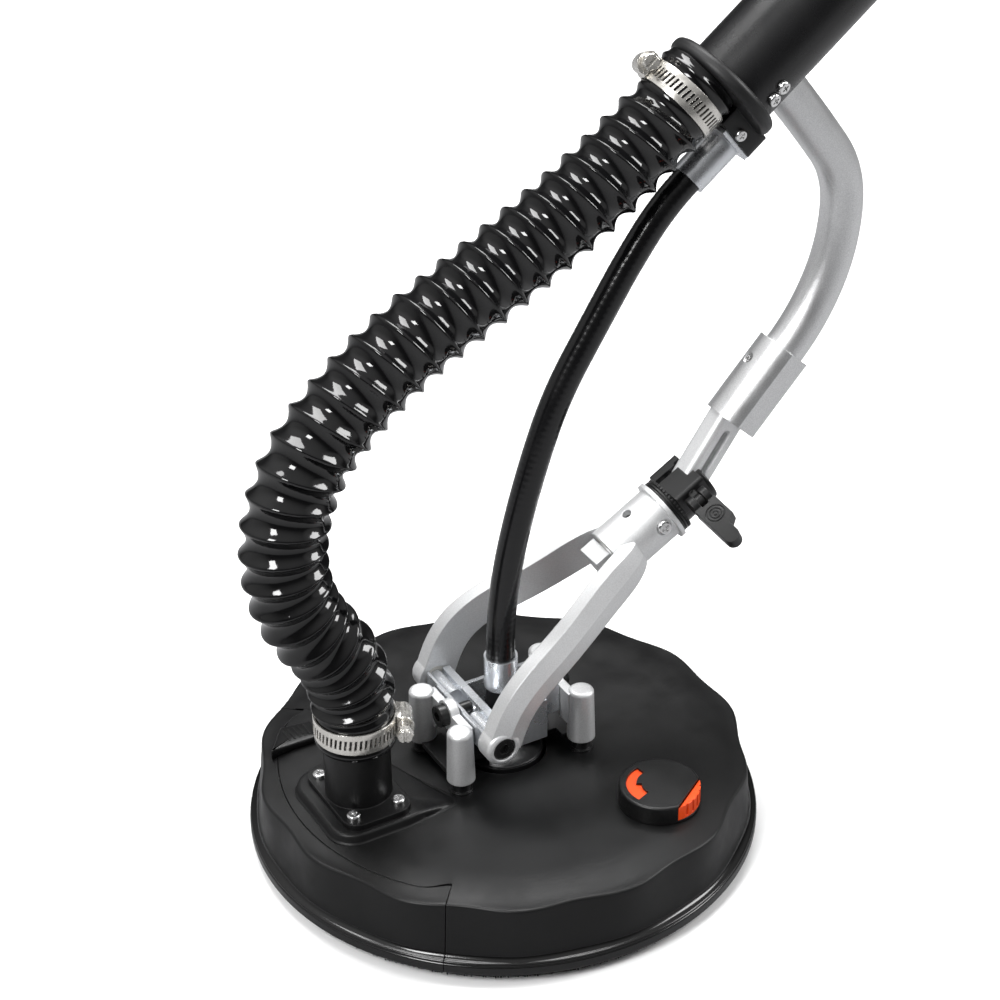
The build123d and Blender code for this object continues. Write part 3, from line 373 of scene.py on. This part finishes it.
# ---- flexible drive shaft --------------------------------------------------------------------------
casing_stations = [
    (Vector((0, 0, 0.0832)), UP), (Vector((0, 0, 0.098)), UP), (Vector((0.0249, 0, 0.214)), heading(69)),
    (Vector((0.061, 0, 0.277)), heading(57)), (in_pole(CABLE_UP, -0.038), ALONG),
    (in_pole(CABLE_UP, -0.0105), ALONG)]
at, where, along = smooth_path(casing_stations, 0.8 * MM)
length = at[-1]
turns = np.arange(48)[None, :] / 48
outer = 6.9 * MM + 0.025 * MM * np.cos(2 * math.pi * (at[:, None] / (3.2 * MM) - turns))
inner = np.full_like(outer, 4.2 * MM)
flexible("casing", at, where, along, outer, inner, "cable_black",
         cuts=(0.014, 0.030, 0.098, length - 0.028), bodies=("carrier",) + HEAD_TO_POLE,
         replaced=("flex_casing",))
core_stations = [(Vector((0, 0, 0.0586)), UP)] + casing_stations
core_stations += [(in_pole(-0.006, 0.012), ALONG), (in_pole(-0.006, 0.098), ALONG)]
at, where, along = smooth_path(core_stations, 0.8 * MM)
length = at[-1]
turns = np.arange(24)[None, :] / 24
outer = 3.1 * MM + 0.1 * MM * np.cos(2 * math.pi * (at[:, None] / (1.6 * MM) - turns))
flexible("core", at, where, along, outer, outer * 0.6, "spring_steel",
         cuts=(0.0386, 0.0546, 0.1226, length - 0.138), bodies=("carrier",) + HEAD_TO_POLE,
         replaced=("flex_core",))

# ---- shroud ----------------------------------------------------------------------------------------
LOBES = 14
LOBE_DEPTH = 1.5 * MM
LOBE_LOW_AT = math.radians(-154)
ROOF = 42 * MM
CENTRE_R = 21.5 * MM
SEAM_R = 109.4 * MM
SEAM_ANGLE = math.radians(180 - 48)
SEAM_TURN = 5.0 * MM
GAP = 0.4 * MM


def lobe(theta):
    """How far the scalloped wall stands in or out at an angle."""
    return -np.cos(LOBES * (theta - LOBE_LOW_AT))


def seam(theta):
    """The skirt's inner edge: a circle that turns inwards next to the two joints."""
    from_joint = abs(np.degrees(np.angle(np.exp(1j * (theta - math.pi))))) - math.degrees(math.pi - SEAM_ANGLE)
    return SEAM_R - SEAM_TURN * np.exp(-(from_joint / 4.5) ** 2)


def roof_height(r):
    return ROOF - 2.4 * MM * step((r - 100 * MM) / (18 * MM))


def wall_profile(theta):
    """The shroud's section at an angle, from the seam radius out, down the wall and back up inside."""
    swell = LOBE_DEPTH * lobe(theta)
    top = 118.4 * MM + swell
    foot = 120.9 * MM + swell * 0.25
    corner = 1.5 * MM
    out = []
    for r in np.linspace(SEAM_R, top - corner, 7):
        out.append((r, float(roof_height(r))))
    edge = out[-1][1]
    for a in np.linspace(15, 84, 6):
        turn = math.radians(a)
        out.append((top - corner + corner * math.sin(turn), edge - corner + corner * math.cos(turn)))
    for share in np.linspace(0.12, 1, 6):
        out.append((top + (foot - top) * share, edge - corner + (15.2 * MM - edge + corner) * share))
    ledge = 124.2 * MM
    for a in np.linspace(20, 90, 5):
        turn = math.radians(a)
        out.append((foot + (ledge - foot) * (1 - math.cos(turn)), 15.2 * MM - 3.0 * MM * math.sin(turn)))
    out.append((124.6 * MM, 11.8 * MM))
    out.append((124.6 * MM, 11.05 * MM))
    out.append((foot - 2.6 * MM, 11.05 * MM))
    out.append((foot - 3.0 * MM, 13 * MM))
    out.append((top - 3.0 * MM, edge - 6 * MM))
    out.append((top - 6.0 * MM, edge - 3.6 * MM))
    out.append((SEAM_R, ROOF - 3.6 * MM))
    return out


def at_angle(profile, theta):
    return [(r * math.cos(theta), r * math.sin(theta), z) for r, z in profile]


def wall_piece(start, end, count):
    """Closed stretch of the scalloped wall and roof edge between two angles."""
    angles = np.linspace(start, end, count + 1)
    points = []
    for theta in angles:
        points += at_angle(wall_profile(theta), theta)
    size = len(points) // len(angles)
    faces = [tuple(reversed(f)) for f in grid_faces(len(angles), size, wrap_columns=True)]
    faces.append(tuple(range(size)))
    faces.append(tuple(reversed(range(count * size, (count + 1) * size))))
    return points, faces, size


def dress(made, size_slot, low_z):
    """Gives the faces below a height a second finish."""
    made.data.materials.append(LOOK[size_slot])
    for face in made.data.polygons:
        if face.center.z < low_z:
            face.material_index = 1


def roof_rings(theta, edge, drop):
    """Points of the roof from its centre hole out to an edge radius, as (x, y, z)."""
    radii = [CENTRE_R] + list(np.linspace(30 * MM, edge, 12))
    return at_angle([(r, float(roof_height(r)) - drop) for r in radii], theta)


def roof_columns(angles, walled):
    """One closed outline per angle: roof, then the wall or a plain edge, then the roof's underside."""
    points = []
    for theta in angles:
        if walled:
            edge, middle = SEAM_R, wall_profile(theta)[1:-1]
        else:
            edge = seam(theta)
            top = float(roof_height(edge))
            middle = [(edge, top - 1.2 * MM), (edge, top - 2.4 * MM)]
        points += roof_rings(theta, edge, 0) + at_angle(middle, theta) + roof_rings(theta, edge, 3.6 * MM)[::-1]
    size = len(points) // len(angles)
    return points, [tuple(reversed(f)) for f in grid_faces(len(angles), size, wrap_columns=True)], size


fixed_angles = np.linspace(-SEAM_ANGLE, SEAM_ANGLE, 421)
points, faces, size = roof_columns(fixed_angles, True)
wall_rows = list(range(12, size - 12))
faces.append(tuple(wall_rows))
faces.append(tuple(reversed([420 * size + row for row in wall_rows])))
first = len(points)
more_points, more_faces, _ = roof_columns(np.linspace(SEAM_ANGLE, 2 * math.pi - SEAM_ANGLE, 161), False)
points += more_points
faces += [tuple(first + v for v in face) for face in more_faces]
shroud = piece("shroud_shell", points, faces, "shroud_black", "shroud")
weld = bmesh.new()
weld.from_mesh(shroud.data)
bmesh.ops.remove_doubles(weld, verts=weld.verts, dist=0.002 * MM)
weld.to_mesh(shroud.data)
weld.free()
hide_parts("shroud")
dress(shroud, "rim_gloss", 14.6 * MM)
smooth_by_angle(shroud, 50)

gap_angle = GAP / (118 * MM)
points, faces, size = wall_piece(SEAM_ANGLE + gap_angle, 2 * math.pi - SEAM_ANGLE - gap_angle, 160)


def beyond_seam(x, y, z):
    """Moves a point at the skirt's inner edge so that it follows the seam."""
    r = math.hypot(x, y)
    edge = float(seam(math.atan2(y, x))) + GAP
    share = max(0.0, 1 - (r - SEAM_R) / (8 * MM))
    grow = 1 + (edge - SEAM_R) * share / r
    return (x * grow, y * grow, z)


points = [beyond_seam(x, y, z) for x, y, z in points]
skirt = piece("front_skirt_shell", points, faces, "shroud_black", "front_skirt")
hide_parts("front_skirt")
dress(skirt, "rim_gloss", 14.6 * MM)
smooth_by_angle(skirt, 50)


def rounded_outline(cx, cy, width, depth, radius, per_corner=8):
    """Points round a rectangle with round corners."""
    out = []
    for sx, sy, start in ((1, 1, 0), (-1, 1, 90), (-1, -1, 180), (1, -1, 270)):
        for i in range(per_corner + 1):
            a = math.radians(start + 90 * i / per_corner)
            out.append((cx + sx * (width / 2 - radius) + radius * math.cos(a),
                        cy + sy * (depth / 2 - radius) + radius * math.sin(a)))
    return out


def raised_pad(name, outline, levels, slot, body):
    """A stack of insets of an outline, capped at both ends. levels is (inset, height or its function)."""
    outline = np.array(outline)
    centre = outline.mean(axis=0)
    ahead = np.roll(outline, -1, axis=0) - np.roll(outline, 1, axis=0)
    normal = np.column_stack([ahead[:, 1], -ahead[:, 0]])
    normal /= np.linalg.norm(normal, axis=1)[:, None]
    points = []
    for inset, height in levels:
        for (x, y) in outline - normal * inset:
            points.append((x, y, height(x, y) if callable(height) else height))
    n = len(outline)
    faces = grid_faces(len(levels), n)
    faces.append(tuple(reversed(range(n))))
    top = (len(levels) - 1) * n
    points.append((centre[0], centre[1], points[top][2]))
    for j in range(n):
        faces.append((top + j, top + (j + 1) % n, len(points) - 1))
    return smooth_by_angle(piece(name, points, faces, slot, body), 40)


def hull(points):
    """The convex outline round some points, anticlockwise."""
    points = sorted(points)
    out = []
    for row in (points, points[::-1]):
        side = []
        for q in row:
            while len(side) > 1:
                (ax, ay), (bx, by) = side[-2], side[-1]
                if (bx - ax) * (q[1] - ay) - (by - ay) * (q[0] - ax) > 1e-12:
                    break
                side.pop()
            side.append(q)
        out += side[:-1]
    return out


def even_outline(corners, spacing):
    """The same outline with points at an even spacing."""
    ring = np.array(corners + corners[:1])
    lengths = np.concatenate([[0], np.cumsum(np.linalg.norm(np.diff(ring, axis=0), axis=1))])
    count = int(lengths[-1] / spacing)
    steps = np.linspace(0, lengths[-1], count, endpoint=False)
    return list(zip(np.interp(steps, lengths, ring[:, 0]), np.interp(steps, lengths, ring[:, 1])))


def plinth_top(x, y):
    """The plinth's top runs level under the port and ramps down to the roof at its tail."""
    return 46.5 * MM - 4.2 * MM * float(step((x + 0.064) / 0.026))


TAIL = (-0.0443, -0.0235)
TAIL_R = 4.5 * MM
tail_turn = np.linspace(0, 2 * math.pi, 24)
round_tail = [(TAIL[0] + TAIL_R * math.cos(a), TAIL[1] + TAIL_R * math.sin(a)) for a in tail_turn]
plinth_outline = hull(rounded_outline(PORT.x, PORT.y, 0.047, 0.057, 0.012) + round_tail)


def under_top(drop):
    """A height that far below the plinth's top, but never under the roof."""
    return lambda x, y: max(42.2 * MM, plinth_top(x, y) - drop)


raised_pad("plinth", even_outline(plinth_outline, 1.2 * MM), (
    (-1.3 * MM, 41.2 * MM), (-1.2 * MM, 42.02 * MM), (-0.7 * MM, 42.25 * MM), (-0.3 * MM, under_top(3.6 * MM)),
    (0.1 * MM, under_top(1.3 * MM)), (0.5 * MM, under_top(0.5 * MM)), (1.1 * MM, under_top(0.12 * MM)),
    (2.0 * MM, plinth_top)), "shroud_black", "shroud")


def over_roof(rise):
    """A height that far above the roof."""
    return lambda x, y: float(roof_height(math.hypot(x, y))) + rise


# The catch lies across the seam on the far side and holds the removable section.
CATCH_CORNERS = [(-0.1012, 0.0493), (-0.0740, 0.0485), (-0.0740, 0.0622), (-0.0893, 0.0645)]
CATCH_TOP = 46.0 * MM
raised_pad("skirt_catch", even_outline(CATCH_CORNERS, 1.0 * MM), (
    (0.5 * MM, over_roof(0.06 * MM)), (0.4 * MM, over_roof(0.9 * MM)), (0.0, over_roof(1.4 * MM)),
    (0.0, CATCH_TOP - 1.0 * MM), (0.35 * MM, CATCH_TOP - 0.3 * MM), (1.0 * MM, CATCH_TOP)),
    "shroud_black", "shroud")
for number, rib_x in enumerate(np.linspace(-0.0895, -0.0785, 5)):
    rib = rounded_outline(rib_x, 0.0565, 1.0 * MM, 9.0 * MM, 0.45 * MM, 3)
    rib_levels = ((0.0, CATCH_TOP - 0.2 * MM), (0.0, CATCH_TOP + 0.25 * MM), (0.25 * MM, CATCH_TOP + 0.5 * MM))
    raised_pad(f"catch_rib_{number + 1}", rib, rib_levels, "shroud_black", "shroud")


# ---- turned and prismatic bits ---------------------------------------------------------------------
def lathe(name, profile, slot_name, body, segments=96, place=None, replaced=()):
    """A closed profile of (radius, height) turned about z, then moved by place."""
    points = []
    for j in range(segments):
        a = 2 * math.pi * j / segments
        points += [Vector((r * math.cos(a), r * math.sin(a), z)) for r, z in profile]
    if place:
        points = [place @ q for q in points]
    faces = grid_faces(segments, len(profile), wrap_rows=True)
    made = piece(name, points, faces, slot_name, None)
    smooth_by_angle(made, 38)
    if replaced:
        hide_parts(*replaced)
    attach(made, body)
    return made


def frame_at(origin, z, x):
    """A matrix whose z and x axes point as given, placed at origin."""
    z = z.normalized()
    x = (x - z * x.dot(z)).normalized()
    turn = Matrix((x, z.cross(x), z)).transposed().to_4x4()
    return Matrix.Translation(origin) @ turn


# ---- worm clamps on the hose -----------------------------------------------------------------------
BAND_IN = 18.98 * MM
BAND_T = 0.75 * MM
BAND_HALF = 5.5 * MM
SLOT_HALF = 2.6 * MM
SLOT_STEP = math.radians(6.95)
SLOT_WIDE = math.radians(3.3)
SLOT_LEAN = math.radians(0.9)


def slotted_band(place):
    """Points and faces of a thin band round z, pierced by leaning slots everywhere but under its housing."""
    columns, open_after = [], []
    angle = math.radians(24)
    while angle < math.radians(336):
        columns += [angle, angle + SLOT_WIDE]
        open_after += [True, False]
        angle += SLOT_STEP
    for extra in range(int(math.degrees(2 * math.pi - columns[-1] + columns[0]) / 5)):
        columns.append(columns[-1] + math.radians(5))
        open_after.append(False)
    rows = [-BAND_HALF, -BAND_HALF * 0.86, -SLOT_HALF, SLOT_HALF, BAND_HALF * 0.86, BAND_HALF]
    swell = [0.0, 0.12 * MM, 0.12 * MM, 0.12 * MM, 0.12 * MM, 0.0]
    points = []
    for depth in (BAND_T, 0.0):
        for z, bulge in zip(rows, swell):
            for a in columns:
                lean = a + SLOT_LEAN * z / SLOT_HALF
                r = BAND_IN + depth + (bulge if depth else 0)
                points.append(place @ Vector((r * math.cos(lean), r * math.sin(lean), z)))
    n, m = len(columns), len(rows)
    back = n * m
    faces = []
    for i in range(m - 1):
        for j in range(n):
            k = (j + 1) % n
            a, b, c, d = i * n + j, i * n + k, (i + 1) * n + k, (i + 1) * n + j
            if i == 2 and open_after[j]:
                for p, q in ((a, b), (b, c), (c, d), (d, a)):
                    faces.append((q, p, back + p, back + q))
                continue
            faces.append((a, b, c, d))
            faces.append((back + d, back + c, back + b, back + a))
    for j in range(n):
        k = (j + 1) % n
        faces.append((k, j, back + j, back + k))
        top = (m - 1) * n
        faces.append((top + j, top + k, back + top + k, back + top + j))
    return points, faces


def add_mesh(points, faces, more_points, more_faces):
    """Appends one set of points and faces to another."""
    first = len(points)
    points += more_points
    faces += [tuple(first + v for v in face) for face in more_faces]


def bar_mesh(place, outline, low, high, bevel):
    """A prism along z with a closed outline and bevelled ends."""
    centre_x = sum(x for x, _ in outline) / len(outline)
    centre_y = sum(y for _, y in outline) / len(outline)
    reach = max(math.hypot(x - centre_x, y - centre_y) for x, y in outline)
    shrink = 1 - bevel / reach
    points = []
    for z, size in ((low, shrink), (low + bevel, 1), (high - bevel, 1), (high, shrink)):
        for x, y in outline:
            at_x, at_y = centre_x + (x - centre_x) * size, centre_y + (y - centre_y) * size
            points.append(place @ Vector((at_x, at_y, z)))
    n = len(outline)
    faces = grid_faces(4, n)
    faces.append(tuple(reversed(range(n))))
    faces.append(tuple(range(3 * n, 4 * n)))
    return points, faces


def polygon(radius, corners):
    """Corners of a regular polygon round the origin."""
    angles = np.linspace(0, 2 * math.pi, corners, endpoint=False)
    return [(radius * math.cos(a), radius * math.sin(a)) for a in angles]


def worm_clamp(name, place, head_side, body, replaced):
    """Slotted band with a worm housing on its +x side. The screw's head points to head_side along y."""
    points, faces = slotted_band(place)
    top = BAND_IN + BAND_T
    along_y = frame_at(Vector((top + 3.0 * MM, 0, 0)), Vector((0, head_side, 0)), Vector((1, 0, 0)))
    bend = np.linspace(-1.9, 1.9, 19)
    arch = [(4.3 * MM * math.cos(a), 5.2 * MM * math.sin(a)) for a in bend]
    arch += [(-3.4 * MM, 5.6 * MM), (-3.4 * MM, -5.6 * MM)]
    add_mesh(points, faces, *bar_mesh(place @ along_y, arch, -6.5 * MM, 6.5 * MM, 0.5 * MM))
    lip = [(4.75 * MM * math.cos(a), 5.6 * MM * math.sin(a)) for a in bend]
    add_mesh(points, faces, *bar_mesh(place @ along_y, lip, 4.9 * MM, 6.9 * MM, 0.3 * MM))
    neck, hexagon = polygon(2.5 * MM, 20), polygon(4.1 * MM, 6)
    add_mesh(points, faces, *bar_mesh(place @ along_y, neck, 6.0 * MM, 11.0 * MM, 0.2 * MM))
    add_mesh(points, faces, *bar_mesh(place @ along_y, hexagon, 10.5 * MM, 14.2 * MM, 0.5 * MM))
    half_turn = np.linspace(0, math.pi, 14)
    for side in (-1, 1):
        half = [(side * (0.6 * MM + 2.8 * MM * math.sin(a)), 3.2 * MM * math.cos(a)) for a in half_turn]
        if side > 0:
            half.reverse()
        add_mesh(points, faces, *bar_mesh(place @ along_y, half, 13.9 * MM, 15.2 * MM, 0.2 * MM))
    made = piece(name, points, faces, "clamp_steel", None)
    smooth_by_angle(made, 32)
    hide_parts(replaced)
    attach(made, body)


def turned(axis, start, degrees):
    """A direction square to an axis, turned from start about that axis."""
    return Matrix.Rotation(math.radians(degrees), 3, axis) @ start


LOWER_CLAMP = frame_at(PORT + UP * 89.5 * MM, UP, turned(UP, Vector((1, 0, 0)), -25))
UPPER_CLAMP = frame_at(in_pole(SPIGOT_UP, -17.0 * MM), ALONG, turned(ALONG, Vector((0, 1, 0)), 60))
worm_clamp("lower_worm_clamp", LOWER_CLAMP, -1, "shroud", "lower_clamp")
worm_clamp("upper_worm_clamp", UPPER_CLAMP, 1, "pole", "upper_clamp")

# ---- pad, abrasive disc, bristles and springs ------------------------------------------------------
lathe("foam_cushion", [
    (13.2 * MM, 1.5 * MM), (109.4 * MM, 1.5 * MM), (110.3 * MM, 2.3 * MM), (110.7 * MM, 4.0 * MM),
    (110.8 * MM, 5.6 * MM), (110.6 * MM, 7.4 * MM), (110.1 * MM, 8.7 * MM), (109.0 * MM, 9.35 * MM),
    (13.2 * MM, 9.35 * MM)], "foam_grey",
    "spindle", 160, replaced=("foam_pad",))
lathe("abrasive_disc", [
    (13.1 * MM, 0.05 * MM), (112.0 * MM, 0.05 * MM), (112.4 * MM, 0.3 * MM), (112.4 * MM, 0.55 * MM),
    (111.9 * MM, 0.7 * MM), (112.2 * MM, 0.85 * MM), (112.0 * MM, 1.3 * MM), (111.4 * MM, 1.42 * MM),
    (13.1 * MM, 1.42 * MM)], "abrasive",
    "spindle", 160, replaced=("sanding_disc",))


def bristles(name, start, end, count, body, replaced):
    """Two rows of thin tapering bristle tufts hanging from the rim between two angles."""
    shake = np.random.default_rng(7)
    points, faces = [], []
    for i in range(count):
        theta = start + (end - start) * (i + 0.5 + shake.uniform(-0.3, 0.3)) / count
        r = (117.9 if i % 2 else 119.3) * MM + shake.uniform(-0.35, 0.35) * MM
        tip = r + shake.uniform(-0.3, 0.8) * MM
        wide = 0.62 * MM
        first = len(points)
        end_z = shake.uniform(0.3, 1.0) * MM
        for radius, z, size in ((r, 11.9 * MM, 1.0), (r, 5.0 * MM, 0.9), (tip, end_z, 0.45)):
            for k in range(4):
                a = math.pi / 2 * k
                out, side = wide * size * math.cos(a), wide * size * math.sin(a)
                x, y = radius + out, side
                points.append((x * math.cos(theta) - y * math.sin(theta),
                               x * math.sin(theta) + y * math.cos(theta), z))
        faces += [tuple(reversed(f)) for f in grid_faces(3, 4, first=first)]
        faces += [tuple(first + k for k in range(4)), tuple(first + 8 + k for k in (3, 2, 1, 0))]
    made = piece(name, points, faces, "bristle_black", None)
    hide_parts(replaced)
    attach(made, body)


bristles("bristles_fixed", -SEAM_ANGLE, SEAM_ANGLE, 980, "shroud", "brush_strip")
bristles("bristles_skirt", SEAM_ANGLE + gap_angle, 2 * math.pi - SEAM_ANGLE - gap_angle, 356, "front_skirt",
         "front_brush")

COIL_R = 3.5 * MM
WIRE_R = 0.55 * MM
COIL_TURNS = 5
COIL_LOW = 0.0607
COIL_LENGTH = 0.0106
points, faces = [], []
for leg_x in (-0.0333, 0.0333):
    for leg_y in (-0.0193, 0.0193):
        centres = []
        steps = COIL_TURNS * 28
        for i in range(steps + 1):
            a = 2 * math.pi * COIL_TURNS * i / steps
            rise = COIL_LOW + COIL_LENGTH * i / steps
            centres.append((leg_x + COIL_R * math.cos(a), leg_y + COIL_R * math.sin(a), rise))
        centres = np.array(centres)
        tangents = np.gradient(centres, axis=0)
        tangents /= np.linalg.norm(tangents, axis=1)[:, None]
        outwards = centres - np.array([leg_x, leg_y, 0]) - centres * np.array([0, 0, 1])
        outwards /= np.linalg.norm(outwards, axis=1)[:, None]
        ups = np.cross(tangents, outwards)
        rings = [centres + WIRE_R * (math.cos(a) * outwards + math.sin(a) * ups)
                 for a in np.linspace(0, 2 * math.pi, 8, endpoint=False)]
        first = len(points)
        points += [tuple(rings[k][i]) for i in range(steps + 1) for k in range(8)]
        faces += grid_faces(steps + 1, 8, first=first)
        faces += [tuple(first + k for k in range(7, -1, -1)), tuple(first + steps * 8 + k for k in range(8))]
coils = piece("coil_springs", points, faces, "spring_steel", None)
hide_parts("leg_springs")
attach(coils, "carrier")
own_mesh(coils)

# ---- floor, light and camera -----------------------------------------------------------------------
floor_mesh = bpy.data.meshes.new("floor")
floor_mesh.from_pydata([(-6, -6, 0), (6, -6, 0), (6, 6, 0), (-6, 6, 0)], [], [(0, 1, 2, 3)])
floor = bpy.data.objects.new("floor", floor_mesh)
bpy.context.scene.collection.objects.link(floor)
floor.location.z = -0.2 * MM
floor_look = bpy.data.materials.new("floor_pale")
floor_look.use_nodes = True
floor_shader = floor_look.node_tree.nodes["Principled BSDF"]
floor_shader.inputs["Roughness"].default_value = 0.6
# The camera sees white paper; the metal mirrors it as grey, so its edges stand out against the white.
floor_eye = floor_look.node_tree.nodes.new("ShaderNodeLightPath")
floor_grain = floor_look.node_tree.nodes.new("ShaderNodeTexNoise")
floor_grain.inputs["Scale"].default_value = 900
paper = floor_look.node_tree.nodes.new("ShaderNodeMapRange")
paper.inputs["To Min"].default_value = 0.92
paper.inputs["To Max"].default_value = 0.95
link(floor_look.node_tree, floor_grain.outputs["Fac"], paper.inputs["Value"])
seen = floor_look.node_tree.nodes.new("ShaderNodeMix")
seen.data_type = "RGBA"
seen.inputs["A"].default_value = (0.27, 0.27, 0.275, 1)
link(floor_look.node_tree, floor_eye.outputs["Is Camera Ray"], seen.inputs["Factor"])
link(floor_look.node_tree, paper.outputs["Result"], seen.inputs["B"])
link(floor_look.node_tree, seen.outputs["Result"], floor_shader.inputs["Base Color"])
floor_mesh.materials.append(floor_look)

world = bpy.data.worlds.new("studio")
world.use_nodes = True
sky = world.node_tree
backdrop = sky.nodes["Background"]
backdrop.inputs["Color"].default_value = (1, 1, 1, 1)
backdrop.inputs["Strength"].default_value = 1.0
room = sky.nodes.new("ShaderNodeBackground")
eye = sky.nodes.new("ShaderNodeLightPath")
choose = sky.nodes.new("ShaderNodeMixShader")
compass = sky.nodes.new("ShaderNodeTexCoord")
link(sky, eye.outputs["Is Camera Ray"], choose.inputs[0])
link(sky, room.outputs[0], choose.inputs[1])
link(sky, backdrop.outputs[0], choose.inputs[2])
link(sky, choose.outputs[0], sky.nodes["World Output"].inputs["Surface"])
glow = None
# Soft bright patches of the room: direction, where each starts and is full, and how bright it is.
for heading_to, starts, full, bright in (((0, 0, 1), 0.25, 1.0, 0.75), ((-0.75, 0.45, 0.48), 0.55, 1.0, 0.55),
                                         ((0.8, -0.5, 0.33), 0.86, 0.97, 0.5)):
    facing = sky.nodes.new("ShaderNodeVectorMath")
    facing.operation = "DOT_PRODUCT"
    facing.inputs[1].default_value = Vector(heading_to).normalized()
    link(sky, compass.outputs["Generated"], facing.inputs[0])
    patch = sky.nodes.new("ShaderNodeMapRange")
    patch.interpolation_type = "SMOOTHSTEP"
    patch.inputs["From Min"].default_value = starts
    patch.inputs["From Max"].default_value = full
    patch.inputs["To Min"].default_value = 0.07 if glow is None else 0.0
    patch.inputs["To Max"].default_value = bright
    link(sky, facing.outputs["Value"], patch.inputs["Value"])
    if glow is None:
        glow = patch.outputs["Result"]
    else:
        total = sky.nodes.new("ShaderNodeMath")
        total.operation = "ADD"
        link(sky, glow, total.inputs[0])
        link(sky, patch.outputs["Result"], total.inputs[1])
        glow = total.outputs["Value"]
link(sky, glow, room.inputs["Strength"])
bpy.context.scene.world = world
bpy.context.scene.view_settings.view_transform = "Standard"


def softbox(name, place, aim, width, height, watts):
    data = bpy.data.lights.new(name, "AREA")
    data.shape = "RECTANGLE"
    data.size, data.size_y, data.energy = width, height, watts
    lamp = bpy.data.objects.new(name, data)
    bpy.context.scene.collection.objects.link(lamp)
    lamp.location = place
    lamp.rotation_mode = "QUATERNION"
    lamp.rotation_quaternion = (Vector(aim) - Vector(place)).to_track_quat("-Z", "Y")
    return lamp


CENTRE = (0.0, 0.0, 0.15)
softbox("key_left", (-1.3, -0.6, 1.5), CENTRE, 0.5, 0.8, 30)
softbox("key_right", (1.5, -0.7, 1.3), CENTRE, 0.6, 0.9, 24)
softbox("overhead", (0.2, 0.6, 2.0), CENTRE, 1.4, 1.0, 52)

camera_data = bpy.data.cameras.new("camera")
camera_data.lens = 97.2
camera_data.sensor_width = 36
camera = bpy.data.objects.new("camera", camera_data)
bpy.context.scene.collection.objects.link(camera)
AZIMUTH, ELEVATION, ROLL = math.radians(-28.9), math.radians(32.13), math.radians(-0.93)
TARGET = Vector((0.001, 0, 0.1841))
DISTANCE = 1.2451
back = Vector((math.sin(AZIMUTH) * math.cos(ELEVATION), -math.cos(AZIMUTH) * math.cos(ELEVATION),
               math.sin(ELEVATION)))
camera.location = TARGET + back * DISTANCE
camera.rotation_mode = "QUATERNION"
camera.rotation_quaternion = (-back).to_track_quat("-Z", "Y")
camera.rotation_mode = "XYZ"
camera.rotation_euler.rotate_axis("Z", ROLL)
bpy.context.scene.camera = camera
